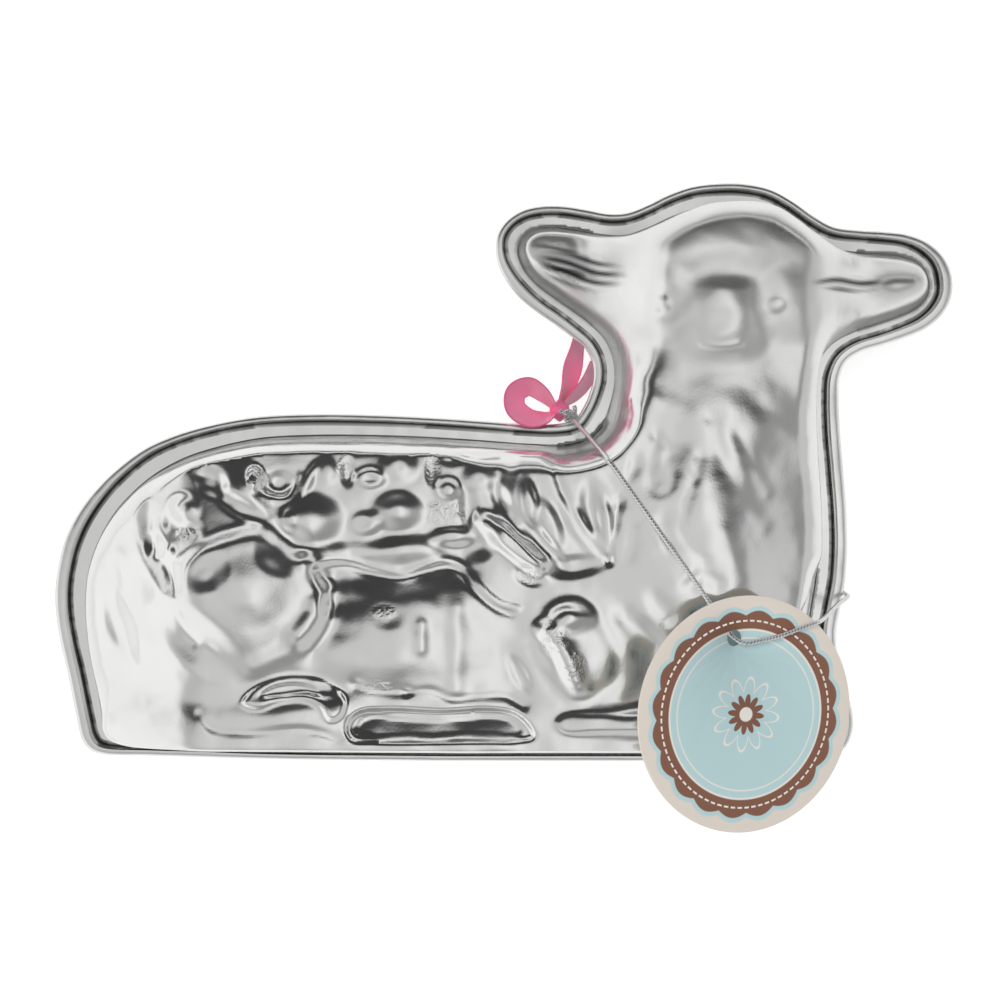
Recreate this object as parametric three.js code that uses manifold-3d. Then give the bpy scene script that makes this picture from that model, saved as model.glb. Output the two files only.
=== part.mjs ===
import * as THREE from 'three';
import Module from 'manifold-3d';
import { mergeVertices } from 'three/addons/utils/BufferGeometryUtils.js';

// A cake mould in the shape of a lying lamb: two stamped aluminium halves that nest at their rims,
// tied together by a loop of elastic cord that carries a round card tag, with a ribbon bow at the neck.
// Lengths are in millimetres and +Z is up. The mould lies face up on its back half. The origin is on the
// flat of the back half, under the middle of the lamb's body.

// Driving sizes
const LENGTH = 292;
const HEIGHT = 188;
const BACK_DEPTH = 46;
const FRONT_RISE = 50;
const SHEET = 1;
const SEAT_GAP = 0.3;

// Where the origin lies on the outline, as shares of length and height
const ORIGIN_SHARE = [0.496, 0.278];

// Rim of the back half
const LIP_BAND = 3.8;
const LIP_HEIGHT = 5;
const LIP_SLOPE = 0.3;
const BEAD_DROP = 1.1;
const BEAD_THICKNESS = 1.2;
const BEAD_CREST_SHARES = [0.35, 0.8];
const NEST_GAP = 1.4;

// Rims of the two halves, clockwise from the rump's lower corner: shares of length and height, and the
// width of the lip there as a share of its widest band
const RIM_SHARES = [
  [0.053, 0.012, 0.7], [0.039, 0.02, 0.9], [0.03, 0.038, 1], [0.025, 0.07, 1], [0.02, 0.108, 1],
  [0.0145, 0.15, 1], [0.007, 0.2, 1], [0.0015, 0.252, 1], [0.0005, 0.296, 1], [0.004, 0.339, 1],
  [0.012, 0.386, 1], [0.026, 0.43, 0.95], [0.046, 0.471, 0.85], [0.0705, 0.508, 0.75],
  [0.102, 0.543, 0.65], [0.138, 0.567, 0.6], [0.177, 0.5835, 0.55], [0.225, 0.5965, 0.55],
  [0.281, 0.601, 0.55], [0.348, 0.6, 0.55], [0.4155, 0.5955, 0.55], [0.474, 0.5895, 0.55],
  [0.524, 0.584, 0.6], [0.559, 0.5835, 0.65], [0.579, 0.591, 0.7], [0.589, 0.612, 0.7],
  [0.596, 0.6365, 0.7], [0.6, 0.664, 0.75], [0.5985, 0.692, 0.75], [0.59, 0.7165, 0.75],
  [0.5755, 0.735, 0.8], [0.558, 0.755, 0.85], [0.5375, 0.777, 0.85], [0.5185, 0.801, 0.9],
  [0.5035, 0.8295, 0.85], [0.494, 0.859, 0.75], [0.491, 0.889, 0.65], [0.494, 0.9155, 0.6],
  [0.505, 0.938, 0.55], [0.522, 0.954, 0.55], [0.543, 0.961, 0.55], [0.5665, 0.961, 0.55],
  [0.592, 0.955, 0.55], [0.617, 0.948, 0.55], [0.637, 0.9495, 0.55], [0.6595, 0.9625, 0.55],
  [0.684, 0.981, 0.55], [0.711, 0.995, 0.55], [0.74, 1, 0.55], [0.77, 0.999, 0.55],
  [0.798, 0.9895, 0.55], [0.823, 0.9685, 0.55], [0.8455, 0.9435, 0.55], [0.868, 0.925, 0.55],
  [0.896, 0.919, 0.55], [0.924, 0.9165, 0.6], [0.9485, 0.912, 0.65], [0.971, 0.899, 0.75],
  [0.989, 0.875, 0.85], [0.999, 0.842, 1], [0.999, 0.805, 1], [0.989, 0.774, 1], [0.971, 0.7495, 0.95],
  [0.947, 0.733, 0.9], [0.9215, 0.72, 0.85], [0.897, 0.708, 0.85], [0.881, 0.6905, 0.85],
  [0.874, 0.664, 0.9], [0.873, 0.626, 0.95], [0.8745, 0.574, 1], [0.878, 0.508, 1], [0.8815, 0.435, 1],
  [0.8825, 0.3685, 1], [0.88, 0.3095, 1], [0.8745, 0.264, 1], [0.87, 0.2225, 1], [0.8725, 0.177, 1],
  [0.88, 0.132, 1], [0.888, 0.09, 1], [0.889, 0.0555, 0.95], [0.881, 0.024, 0.85], [0.8635, 0.006, 0.7],
  [0.8095, 0.002, 0.6], [0.73, 0.001, 0.55], [0.653, 0, 0.55], [0.58, 0, 0.55], [0.51, 0, 0.55],
  [0.44, 0, 0.55], [0.37, 0.001, 0.55], [0.3, 0.002, 0.55], [0.227, 0.004, 0.55], [0.16, 0.007, 0.6],
  [0.104, 0.0095, 0.6],
];

// The foot of the walls, where both halves leave their flat flanges, clockwise in the same way
const FOOT_SHARES = [
  [0.093, 0.031], [0.073, 0.04], [0.0615, 0.059], [0.056, 0.094], [0.0505, 0.132], [0.0425, 0.188],
  [0.038, 0.2435], [0.0375, 0.2955], [0.0415, 0.339], [0.0505, 0.381], [0.065, 0.421], [0.086, 0.459],
  [0.113, 0.494], [0.1465, 0.522], [0.185, 0.541], [0.2295, 0.555], [0.283, 0.56], [0.3505, 0.56],
  [0.4175, 0.5565], [0.476, 0.5505], [0.5295, 0.5445], [0.57, 0.5445], [0.597, 0.5565], [0.6125, 0.581],
  [0.6215, 0.6155], [0.627, 0.6575], [0.625, 0.699], [0.615, 0.734], [0.597, 0.762], [0.5755, 0.786],
  [0.554, 0.8095], [0.5365, 0.831], [0.524, 0.8555], [0.518, 0.8835], [0.522, 0.904], [0.534, 0.918],
  [0.554, 0.922], [0.58, 0.9175], [0.608, 0.909], [0.636, 0.907], [0.662, 0.92], [0.6885, 0.939],
  [0.7165, 0.954], [0.7445, 0.959], [0.7715, 0.958], [0.796, 0.948], [0.8175, 0.927], [0.8385, 0.9035],
  [0.8635, 0.885], [0.8935, 0.878], [0.924, 0.8755], [0.946, 0.871], [0.963, 0.859], [0.972, 0.8365],
  [0.972, 0.8105], [0.962, 0.7895], [0.942, 0.774], [0.916, 0.76], [0.888, 0.746], [0.8645, 0.725],
  [0.85, 0.694], [0.844, 0.652], [0.843, 0.6], [0.8455, 0.53], [0.849, 0.452], [0.85, 0.374],
  [0.8465, 0.3095], [0.841, 0.257], [0.839, 0.209], [0.843, 0.16], [0.852, 0.115], [0.8565, 0.078],
  [0.85, 0.047], [0.832, 0.031], [0.798, 0.028], [0.75, 0.027], [0.7, 0.0265], [0.65, 0.026],
  [0.6, 0.026], [0.55, 0.026], [0.5, 0.026], [0.45, 0.026], [0.4, 0.0265], [0.35, 0.027],
  [0.3, 0.0275], [0.25, 0.028], [0.2, 0.0285], [0.149, 0.0295],
];
const SAMPLES_PER_POINT = 1.35;

// Walls: how far in from the foot each half's wall has turned into its top, at the body and at the ears,
// and how full its curve is
const BACK_SHOULDERS = [15, 9, 15];
const FRONT_SHOULDERS = [10, 7, 6];
const BASE_SHOULDER = 4;
const SPINE_END_SHARES = [0.08, 0.18];
const SPINE_NECK_SHARES = [0.42, 0.52];
const SPINE_LOW_SHARES = [0.3, 0.4];
const WALL_FULLNESS = 2.4;
const RING_STEPS = [1.2, 3, 5.5, 9];
const RING_CROWDING_SHARE = 0.4;
const RING_FOLD_SHARE = 0.97;
const FIELD_STEP = 6.2;
const FIELD_CLEAR_SHARE = 0.62;
const SLOPE_STEP = 0.25;
const WELD_SHARE = 0.0001;

// Where the lamb's parts change height, as shares of length or height, and their rises over the flange
// as shares of the body's rise
const HEAD_AXIS_SHARE = 0.748;
const EAR_ROOT_SHARES = [0.075, 0.17];
const EAR_LOW_SHARES = [0.64, 0.72];
const BASE_BAND_SHARES = [0.05, 0.17];
const RUMP_SHARES = [0.03, 0.19];
const BREAST_SHARES = [0.86, 0.73];
const NECK_SHARES = [0.55, 0.66];
const NECK_BLEND_SHARES = [0.5, 0.72];
const RUMP_RISE_SHARE = 0.56;
const BREAST_RISE_SHARE = 0.8;
const HEAD_RISE_SHARE = 0.94;
const EAR_RISE_SHARE = 0.27;
const BASE_RISE_SHARE = 1.1;

// The front steps down along the fleece's lower edge and rolls off towards the spine, but not at the neck
const STEP_SHARES = [0.353, 0.415];
const STEP_DROP = 2.4;
const ROLL_SHARES = [0.44, 0.56];
const ROLL_DROP = 2;
const ROLL_END_SHARES = [0.53, 0.6];

// Rounded forms of the lamb's front: middle as shares of length and height, half sizes as shares of
// length, turn in degrees, and rise as a share of the body's rise
const FRONT_FORM_SHARES = [
  [0.215, 0.3, 0.1, 0.09, 0, 0.12],
  [0.2365, 0.304, 0.03, 0.03, 0, 0.02],
  [0.299, 0.421, 0.0285, 0.0225, 0, 0.046],
  [0.389, 0.433, 0.0235, 0.0175, 0, 0.043],
  [0.227, 0.473, 0.021, 0.031, 30, 0.036],
  [0.272, 0.374, 0.025, 0.0235, -20, -0.046],
  [0.178, 0.225, 0.047, 0.0225, -38, -0.05],
  [0.568, 0.264, 0.025, 0.0175, 0, 0.034],
  [0.402, 0.225, 0.1, 0.063, 0, 0.06],
  [0.5746, 0.212, 0.06, 0.06, -10, 0.09],
  [0.695, 0.355, 0.085, 0.095, 0, 0.09],
  [0.742, 0.566, 0.07, 0.075, 0, 0.03],
  [0.729, 0.858, 0.09, 0.058, 0, 0.12],
  [0.737, 0.737, 0.05, 0.048, 0, 0.09],
  [0.666, 0.77, 0.03, 0.034, 0, 0.05],
  [0.8, 0.77, 0.03, 0.034, 0, 0.05],
  [0.287, 0.107, 0.066, 0.018, 4, 0.03],
  [0.675, 0.091, 0.1, 0.018, 0, 0.035],
  [0.562, 0.835, 0.052, 0.022, -17, 0.1],
  [0.92, 0.815, 0.05, 0.022, 6, 0.1],
];

// Long folds and creases of the front: half width as a share of length, rise as a share of the body's
// rise, then the line's points as shares of length and height
const FRONT_FOLD_SHARES = [
  [0.0115, 0.037, [[0.4815, 0.413], [0.5025, 0.3855], [0.536, 0.345]]],
  [0.019, -0.044, [[0.31, 0.335], [0.339, 0.3415], [0.386, 0.3285], [0.423, 0.335], [0.456, 0.348]]],
  [0.0135, 0.032, [[0.5515, 0.234], [0.565, 0.1985], [0.578, 0.15]]],
  [0.0115, 0.03, [[0.293, 0.3515], [0.3075, 0.3025], [0.3045, 0.267], [0.2865, 0.234]]],
  [0.0145, -0.026, [[0.318, 0.322], [0.3245, 0.28], [0.318, 0.241], [0.3015, 0.208]]],
  [0.027, 0.029, [[0.7055, 0.4685], [0.721, 0.4035], [0.7495, 0.322]]],
];

// The long hollow under the belly, between the hind and the front leg
const HOLLOW_PLACE_SHARE = [0.433, 0.089];
const HOLLOW_HALF_SHARE = [0.1, 0.024];
const HOLLOW_DEPTH = 4.5;
const HOLLOW_EDGE_SHARES = [0.62, 1.12];

// Rounded forms of the lamb's back half, and how much of the wall's height each part keeps
const BACK_FORM_SHARES = [
  [0.23, 0.29, 0.12, 0.12, 0, 0.3],
  [0.43, 0.3, 0.17, 0.13, 0, 0.3],
  [0.19, 0.47, 0.05, 0.03, 20, 0.06],
  [0.31, 0.5, 0.05, 0.026, 0, 0.06],
  [0.45, 0.49, 0.05, 0.026, 0, 0.06],
  [0.73, 0.84, 0.1, 0.075, 0, 0.1],
];
const BACK_BODY_SHARE = 0.9;
const BACK_BREAST_SHARE = 0.76;
const BACK_HEAD_SHARE = 0.78;
const BACK_EAR_SHARE = 0.3;
const BACK_BREAST_EDGE_SHARES = [0.6, 0.7];

// Elastic cord and its knot: the route's points are chosen on the closed mould
const CORD = 1.4;
const CORD_SIDES = 8;
const CORD_STEPS = 80;
const KNOT_RADIUS = 2.6;
const KNOT_SQUASH_SHARE = 0.86;
const KNOT_SEGMENTS = [12, 8];
const KNOT_PLACE_SHARE = [0.5737, 0.5966];
const CORD_ROUTE = [
  [23.5, 58.7, 56.8], [27.1, 53.6, 73.4], [29.7, 49.9, 85.6], [30.8, 48.3, 90.6], [31.4, 47.4, 93.4],
  [32.2, 46.3, 96.2], [33.1, 44.9, 98.3], [34.5, 43, 99.4], [37, 39.4, 100.1], [40.7, 34.1, 101.1],
  [46.6, 25.7, 102.8], [52.6, 17.1, 104.5], [58.6, 8.6, 105.2], [64, 0.6, 105.6], [67.6, -5, 106.7],
  [70.4, -8.8, 108.6], [73.4, -10.4, 109.4], [77.8, -9.8, 108], [84, -8.6, 105.3], [90.6, -6.5, 102.6],
  [94, -5.4, 101.1], [96.9, -4.5, 99.4], [98.9, -3.8, 95.4], [103, -2.2, 82], [108, -0.2, 66.5],
  [112.4, 1.3, 53.8], [113, 1.7, 49], [109, 4.5, 42], [98.3, 11.8, 20.6], [94.5, 14.3, 13.4],
  [90.7, 16.8, 10.6], [86.9, 19.3, 9.3], [79.4, 24.3, 9.2], [68, 31.7, 9.2], [56.7, 39.1, 8.8],
  [49.2, 44.1, 7.6], [42.6, 48.5, 7.5], [39.8, 50.4, 9.6], [37.6, 51.8, 13.2], [31, 56.2, 28.6],
  [26, 59.5, 40.4], [23.8, 60.9, 45.6], [22.9, 61.6, 50.6],
];

// Card tag
const TAG_DIAMETER = 72;
const TAG_THICKNESS = 0.8;
const TAG_HOLE = 5;
const TAG_HOLE_IN = 12.3;
const TAG_PLACE_SHARE = [0.7498, 0.1078];
const TAG_RIDE = 9.6;
const TAG_TILT = 22.5;
const TAG_LEAN = 8;
const TAG_HOLE_TURN = 10.4;
const TAG_SEGMENTS = 64;
const HOLE_SEGMENTS = 20;

// Satin ribbon, tied round the cord beside its knot. Points are measured from the middle of the ribbon's
// own knot, which lies beside the cord's knot and a little under the parting plane
const RIBBON_WIDTH = 10;
const RIBBON_THICKNESS = 0.7;
const RIBBON_KNOT = [7, 7.4, 8];
const RIBBON_KNOT_SEGMENTS = [14, 10];
const RIBBON_KNOT_OFFSET = [-3.2, 2.1, -1];
const RIBBON_STEPS = 24;
const RIBBON_LOOP = [
  [-2.5, -0.8, 0], [-6.1, -2.5, 1], [-10.5, -2.2, 2], [-14.1, 1.2, 2], [-13.9, 5.2, 2], [-10.1, 7, 1.5],
  [-5.7, 4.8, 1], [-2.3, 1.2, 0],
];
const RIBBON_TAILS = [
  [[0.3, 2.2, -1], [2.7, 7.2, -4], [4.5, 14.2, -6.5], [6.1, 21.2, -8], [7.2, 28.2, -8.6]],
  [[1.3, 1.8, -2.4], [5.4, 5.2, -5.4], [9.4, 10.2, -7.4], [11.4, 16.2, -8.4]],
];

// Finishes
const SILVER = 0xd9d9d6;
const CORD_SILVER = 0xc4c6c8;
const CARD_CREAM = 0xe8ddd0;
const RIBBON_PINK = 0xf07aa2;

const wasm = await Module();
wasm.setup();

// Plan geometry: places on the outline, closed curves and distances
const xAt = (share) => (share - ORIGIN_SHARE[0]) * LENGTH;
const yAt = (share) => (share - ORIGIN_SHARE[1]) * HEIGHT;

function smooth(from, to, value) {
  const t = Math.min(Math.max((value - from) / (to - from), 0), 1);
  return t * t * (3 - 2 * t);
}

const mix = (a, b, t) => a + (b - a) * t;

function closedCurve(rows) {
  const points = rows.map(([x, y, extra = 0]) => new THREE.Vector3(xAt(x), yAt(y), extra));
  const curve = new THREE.CatmullRomCurve3(points, true, 'centripetal');
  const count = Math.round(rows.length * SAMPLES_PER_POINT);
  const samples = [];
  for (let i = 0; i < count; i++) {
    const p = curve.getPoint(i / count);
    const t = curve.getTangent(i / count);
    const flat = Math.hypot(t.x, t.y);
    samples.push({ x: p.x, y: p.y, extra: p.z, inX: t.y / flat, inY: -t.x / flat });
  }
  return samples;
}

const rim = closedCurve(RIM_SHARES);
const foot = closedCurve(FOOT_SHARES);

function segmentDistance(px, py, a, b) {
  const dx = b.x - a.x;
  const dy = b.y - a.y;
  const t = Math.min(Math.max(((px - a.x) * dx + (py - a.y) * dy) / (dx * dx + dy * dy), 0), 1);
  return Math.hypot(px - a.x - t * dx, py - a.y - t * dy);
}

function isInside(loop, px, py) {
  let inside = false;
  for (let i = 0, j = loop.length - 1; i < loop.length; j = i++) {
    const a = loop[i];
    const b = loop[j];
    if ((a.y > py) !== (b.y > py) && px < ((b.x - a.x) * (py - a.y)) / (b.y - a.y) + a.x) {
      inside = !inside;
    }
  }
  return inside;
}

// Distance in from the foot of the wall, below zero on the flange
function depthInside(px, py) {
  let nearest = Infinity;
  for (let i = 0; i < foot.length; i++) {
    nearest = Math.min(nearest, segmentDistance(px, py, foot[i], foot[(i + 1) % foot.length]));
  }
  return isInside(foot, px, py) ? nearest : -nearest;
}

// Relief: each part of the lamb adds its rise to the plain height
function roundForm(px, py, [x, y, halfLong, halfShort, turn, rise]) {
  const angle = THREE.MathUtils.degToRad(turn);
  const dx = px - xAt(x);
  const dy = py - yAt(y);
  const along = (dx * Math.cos(angle) + dy * Math.sin(angle)) / (halfLong * LENGTH);
  const across = (dy * Math.cos(angle) - dx * Math.sin(angle)) / (halfShort * LENGTH);
  const reach = 1 - Math.min((along * along + across * across) / 2, 1);
  return rise * reach * reach;
}

function fold(px, py, [halfWidth, rise, line]) {
  let nearest = Infinity;
  for (let i = 0; i + 1 < line.length; i++) {
    const a = { x: xAt(line[i][0]), y: yAt(line[i][1]) };
    const b = { x: xAt(line[i + 1][0]), y: yAt(line[i + 1][1]) };
    nearest = Math.min(nearest, segmentDistance(px, py, a, b));
  }
  return rise * Math.exp(-((nearest / (halfWidth * LENGTH)) ** 2));
}

function hollow(px, py) {
  const along = Math.abs(px - xAt(HOLLOW_PLACE_SHARE[0])) / (HOLLOW_HALF_SHARE[0] * LENGTH);
  const across = Math.abs(py - yAt(HOLLOW_PLACE_SHARE[1])) / (HOLLOW_HALF_SHARE[1] * LENGTH);
  const reach = Math.hypot(along * along, across * across) ** 0.5;
  return HOLLOW_DEPTH * (1 - smooth(HOLLOW_EDGE_SHARES[0], HOLLOW_EDGE_SHARES[1], reach));
}

function earShare(px, py) {
  const out = smooth(...EAR_ROOT_SHARES.map((s) => s * LENGTH), Math.abs(px - xAt(HEAD_AXIS_SHARE)));
  return out * smooth(...EAR_LOW_SHARES.map(yAt), py);
}

// The wall's curve from the foot, 0, to the top, 1
function spineShare(px, py) {
  const fromEnd = smooth(...SPINE_END_SHARES.map(xAt), px);
  const toNeck = 1 - smooth(...SPINE_NECK_SHARES.map(xAt), px);
  return fromEnd * toNeck * smooth(...SPINE_LOW_SHARES.map(yAt), py);
}

function wallCurve(px, py, depth, [bodyShoulder, earShoulder, spineShoulder]) {
  const baseShare = 1 - smooth(...BASE_BAND_SHARES.map(yAt), py);
  const body = mix(bodyShoulder, spineShoulder, spineShare(px, py));
  const plain = mix(body, earShoulder, earShare(px, py));
  const shoulder = mix(plain, BASE_SHOULDER, baseShare);
  const t = Math.min(Math.max(depth / shoulder, 0), 1);
  return 1 - (1 - t) ** WALL_FULLNESS;
}

function spineDrop(px, py) {
  const step = STEP_DROP * smooth(...STEP_SHARES.map(yAt), py);
  const roll = ROLL_DROP * smooth(...ROLL_SHARES.map(yAt), py);
  return (step + roll) * (1 - smooth(...ROLL_END_SHARES.map(xAt), px));
}

function frontHeight(px, py) {
  const depth = depthInside(px, py);
  const baseShare = 1 - smooth(...BASE_BAND_SHARES.map(yAt), py);
  let rise = mix(1, BASE_RISE_SHARE, baseShare);
  rise *= mix(RUMP_RISE_SHARE, 1, smooth(...RUMP_SHARES.map(xAt), px));
  rise *= mix(BREAST_RISE_SHARE, 1, 1 - smooth(xAt(BREAST_SHARES[1]), xAt(BREAST_SHARES[0]), px));
  rise = mix(rise, HEAD_RISE_SHARE, smooth(...NECK_BLEND_SHARES.map(yAt), py));
  rise = mix(rise, EAR_RISE_SHARE, earShare(px, py));
  rise += FRONT_FORM_SHARES.reduce((sum, form) => sum + roundForm(px, py, form), 0);
  rise += FRONT_FOLD_SHARES.reduce((sum, line) => sum + fold(px, py, line), 0);
  const top = rise * FRONT_RISE - hollow(px, py) - spineDrop(px, py);
  return top * wallCurve(px, py, depth, FRONT_SHOULDERS);
}

// The back half's flat is as deep as the half itself, so its forms are cut off level there
const BACK_RISE = BACK_DEPTH - SHEET;
function backHeight(px, py) {
  const depth = depthInside(px, py);
  const breast = smooth(...BACK_BREAST_EDGE_SHARES.map(xAt), px);
  let rise = mix(BACK_BODY_SHARE, BACK_BREAST_SHARE, breast);
  rise = mix(rise, BACK_HEAD_SHARE, smooth(...NECK_SHARES.map(yAt), py));
  rise = mix(rise, BACK_EAR_SHARE, earShare(px, py));
  rise += BACK_FORM_SHARES.reduce((sum, form) => sum + roundForm(px, py, form), 0);
  return Math.min(rise, 1) * BACK_RISE * wallCurve(px, py, depth, BACK_SHOULDERS);
}

// Delaunay triangles over points of the plan, by adding one point at a time
function delaunay(points) {
  const reach = LENGTH * LENGTH;
  const all = [...points, { x: -reach, y: -reach }, { x: reach, y: -reach }, { x: 0, y: reach }];
  const circle = (a, b, c) => {
    const [p, q, r] = [all[a], all[b], all[c]];
    const ax = q.x - p.x;
    const ay = q.y - p.y;
    const bx = r.x - p.x;
    const by = r.y - p.y;
    const twice = 2 * (ax * by - ay * bx);
    const ux = (by * (ax * ax + ay * ay) - ay * (bx * bx + by * by)) / twice;
    const uy = (ax * (bx * bx + by * by) - bx * (ax * ax + ay * ay)) / twice;
    return { corners: [a, b, c], x: p.x + ux, y: p.y + uy, square: ux * ux + uy * uy };
  };
  let triangles = [circle(points.length, points.length + 1, points.length + 2)];
  points.forEach((point, index) => {
    const edges = new Map();
    const kept = [];
    for (const triangle of triangles) {
      if ((point.x - triangle.x) ** 2 + (point.y - triangle.y) ** 2 >= triangle.square) {
        kept.push(triangle);
        continue;
      }
      for (let k = 0; k < 3; k++) {
        const a = triangle.corners[k];
        const b = triangle.corners[(k + 1) % 3];
        if (!edges.delete(`${b},${a}`)) edges.set(`${a},${b}`, [a, b]);
      }
    }
    for (const [a, b] of edges.values()) kept.push(circle(a, b, index));
    triangles = kept;
  });
  return triangles.map((t) => t.corners).filter((c) => Math.max(...c) < points.length);
}

// Plan of a pressed half inside the foot of its wall: the foot, rings up the wall, points round the
// hollow and a staggered field, none closer to another than the mesh can use
function planInside() {
  const points = foot.map(({ x, y, inX, inY }) => ({ x, y, inX, inY, atFoot: true }));
  const spacing = FIELD_STEP * RING_CROWDING_SHARE;
  const isFree = (list, x, y, gap) => list.every((p) => Math.hypot(p.x - x, p.y - y) >= gap);
  for (const step of RING_STEPS) {
    const ring = [];
    for (const { x, y, inX, inY } of foot) {
      const px = x + inX * step;
      const py = y + inY * step;
      if (depthInside(px, py) >= step * RING_FOLD_SHARE && isFree(ring, px, py, spacing)) {
        ring.push({ x: px, y: py });
      }
    }
    points.push(...ring);
  }
  const clear = FIELD_STEP * FIELD_CLEAR_SHARE;
  const last = RING_STEPS[RING_STEPS.length - 1];
  const rowStep = (FIELD_STEP * Math.sqrt(3)) / 2;
  const rowCount = Math.ceil(HEIGHT / rowStep);
  const columnCount = Math.ceil(LENGTH / FIELD_STEP);
  for (let row = 0; row < rowCount; row++) {
    for (let column = 0; column < columnCount; column++) {
      const x = xAt(0) + (column + (row % 2) / 2) * FIELD_STEP;
      const y = yAt(0) + row * rowStep;
      if (depthInside(x, y) > last && isFree(points, x, y, clear)) points.push({ x, y });
    }
  }
  return points;
}

const plan = planInside();
const planTriangles = delaunay(plan).filter((corners) => {
  const x = (plan[corners[0]].x + plan[corners[1]].x + plan[corners[2]].x) / 3;
  const y = (plan[corners[0]].y + plan[corners[1]].y + plan[corners[2]].y) / 3;
  return isInside(foot, x, y);
});

// Both skins of a pressed half inside its foot, facing the side given by up (1) or down (-1)
function pressedSkins(heightAt, flangeFace, matingFace, side) {
  const outer = [];
  const inner = [];
  for (const point of plan) {
    if (point.atFoot) {
      outer.push([point.x, point.y, flangeFace]);
      inner.push([point.x + point.inX * SHEET, point.y + point.inY * SHEET, matingFace]);
      continue;
    }
    const height = heightAt(point.x, point.y);
    const across = heightAt(point.x + SLOPE_STEP, point.y) - heightAt(point.x - SLOPE_STEP, point.y);
    const along = heightAt(point.x, point.y + SLOPE_STEP) - heightAt(point.x, point.y - SLOPE_STEP);
    const slopeX = across / (2 * SLOPE_STEP);
    const slopeY = along / (2 * SLOPE_STEP);
    const scale = SHEET / Math.hypot(slopeX, slopeY, 1);
    outer.push([point.x, point.y, flangeFace + side * height]);
    inner.push([
      point.x + slopeX * scale, point.y + slopeY * scale, flangeFace + side * (height - scale),
    ]);
  }
  return { outer, inner };
}

// A rim ring: the rim's outline moved in by a share of the lip's width and a plain distance
function rimRing(bandShare, plus, z) {
  return rim.map(({ x, y, extra, inX, inY }) => {
    const inward = extra * LIP_BAND * bandShare + plus;
    return [x + inX * inward, y + inY * inward, z];
  });
}

// Triangles that join two closed rings of different counts, from ring a round to ring b
function joinRings(a, b, positions, indices) {
  const first = positions.length;
  positions.push(...a, ...b);
  const gap = (p, q) => Math.hypot(p[0] - q[0], p[1] - q[1], p[2] - q[2]);
  const second = first + a.length;
  let start = 0;
  b.forEach((point, k) => {
    if (gap(point, a[0]) < gap(b[start], a[0])) start = k;
  });
  let i = 0;
  let j = 0;
  while (i < a.length || j < b.length) {
    const nowA = a[i % a.length];
    const nowB = b[(start + j) % b.length];
    const nextA = a[(i + 1) % a.length];
    const nextB = b[(start + j + 1) % b.length];
    const stepA = j >= b.length || (i < a.length && gap(nextA, nowB) <= gap(nowA, nextB));
    const cornerA = first + (i % a.length);
    const cornerB = second + ((start + j) % b.length);
    if (stepA) {
      i += 1;
      indices.push(cornerA, first + (i % a.length), cornerB);
    } else {
      j += 1;
      indices.push(cornerA, second + ((start + j) % b.length), cornerB);
    }
  }
}

// One pressed half: its two skins and the rings round its rim, closed into one solid
function pressedHalf(heightAt, flangeFace, matingFace, side, rings) {
  const { outer, inner } = pressedSkins(heightAt, flangeFace, matingFace, side);
  const positions = [...outer, ...inner];
  const indices = [];
  for (const [a, b, c] of planTriangles) {
    const turned = side > 0 ? [a, b, c] : [a, c, b];
    indices.push(...turned);
    indices.push(turned[0] + plan.length, turned[2] + plan.length, turned[1] + plan.length);
  }
  const outerFoot = outer.slice(0, foot.length);
  const innerFoot = inner.slice(0, foot.length);
  const chain = [outerFoot, ...rings, innerFoot];
  for (let k = 0; k + 1 < chain.length; k++) {
    if (side > 0) joinRings(chain[k], chain[k + 1], positions, indices);
    else joinRings(chain[k + 1], chain[k], positions, indices);
  }
  const geometry = new THREE.BufferGeometry();
  geometry.setAttribute('position', new THREE.Float32BufferAttribute(positions.flat(), 3));
  geometry.setIndex(indices);
  return mergeVertices(geometry, SHEET * WELD_SHARE);
}

function finish(color, roughness, metalness) {
  return new THREE.MeshStandardMaterial({ color, roughness, metalness });
}

const PARTING = BACK_DEPTH;

// Back half: cavity face up, flat flange at the parting plane, upturned lip with a rolled bead
function backHalf() {
  const top = PARTING + LIP_HEIGHT;
  const rings = [
    rimRing(1, -SHEET, PARTING - SHEET),
    rimRing(1, -SHEET, top - BEAD_DROP - BEAD_THICKNESS),
    rimRing(0, 0, top - BEAD_DROP - BEAD_THICKNESS),
    rimRing(0, 0, top - BEAD_DROP),
    rimRing(BEAD_CREST_SHARES[0], 0, top),
    rimRing(BEAD_CREST_SHARES[1], 0, top),
    rimRing(1, 0, top - BEAD_DROP),
    rimRing(1, LIP_SLOPE, PARTING),
  ];
  return new THREE.Mesh(
    pressedHalf(backHeight, PARTING - SHEET, PARTING, -1, rings),
    finish(SILVER, 0.18, 1),
  );
}

// Front half: its flat flange nests inside the lip with a gap all round
function frontHalf() {
  const under = PARTING + SEAT_GAP;
  const rings = [
    rimRing(1, LIP_SLOPE + NEST_GAP, under + SHEET),
    rimRing(1, LIP_SLOPE + NEST_GAP, under),
  ];
  return new THREE.Mesh(
    pressedHalf(frontHeight, under + SHEET, under, 1, rings),
    finish(SILVER, 0.16, 1),
  );
}

function openCurve(rows) {
  return new THREE.CatmullRomCurve3(rows.map((row) => new THREE.Vector3(...row)), false, 'centripetal');
}

// Elastic cord: an open tube whose two ends meet the knot
function elasticCord() {
  const section = new THREE.Shape();
  section.absarc(0, 0, CORD / 2, 0, 2 * Math.PI);
  const round = new THREE.Shape(section.getSpacedPoints(CORD_SIDES).slice(0, CORD_SIDES));
  const geometry = new THREE.ExtrudeGeometry(round, {
    steps: CORD_STEPS,
    extrudePath: openCurve(CORD_ROUTE),
  });
  return new THREE.Mesh(geometry, finish(CORD_SILVER, 0.35, 0.8));
}

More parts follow.
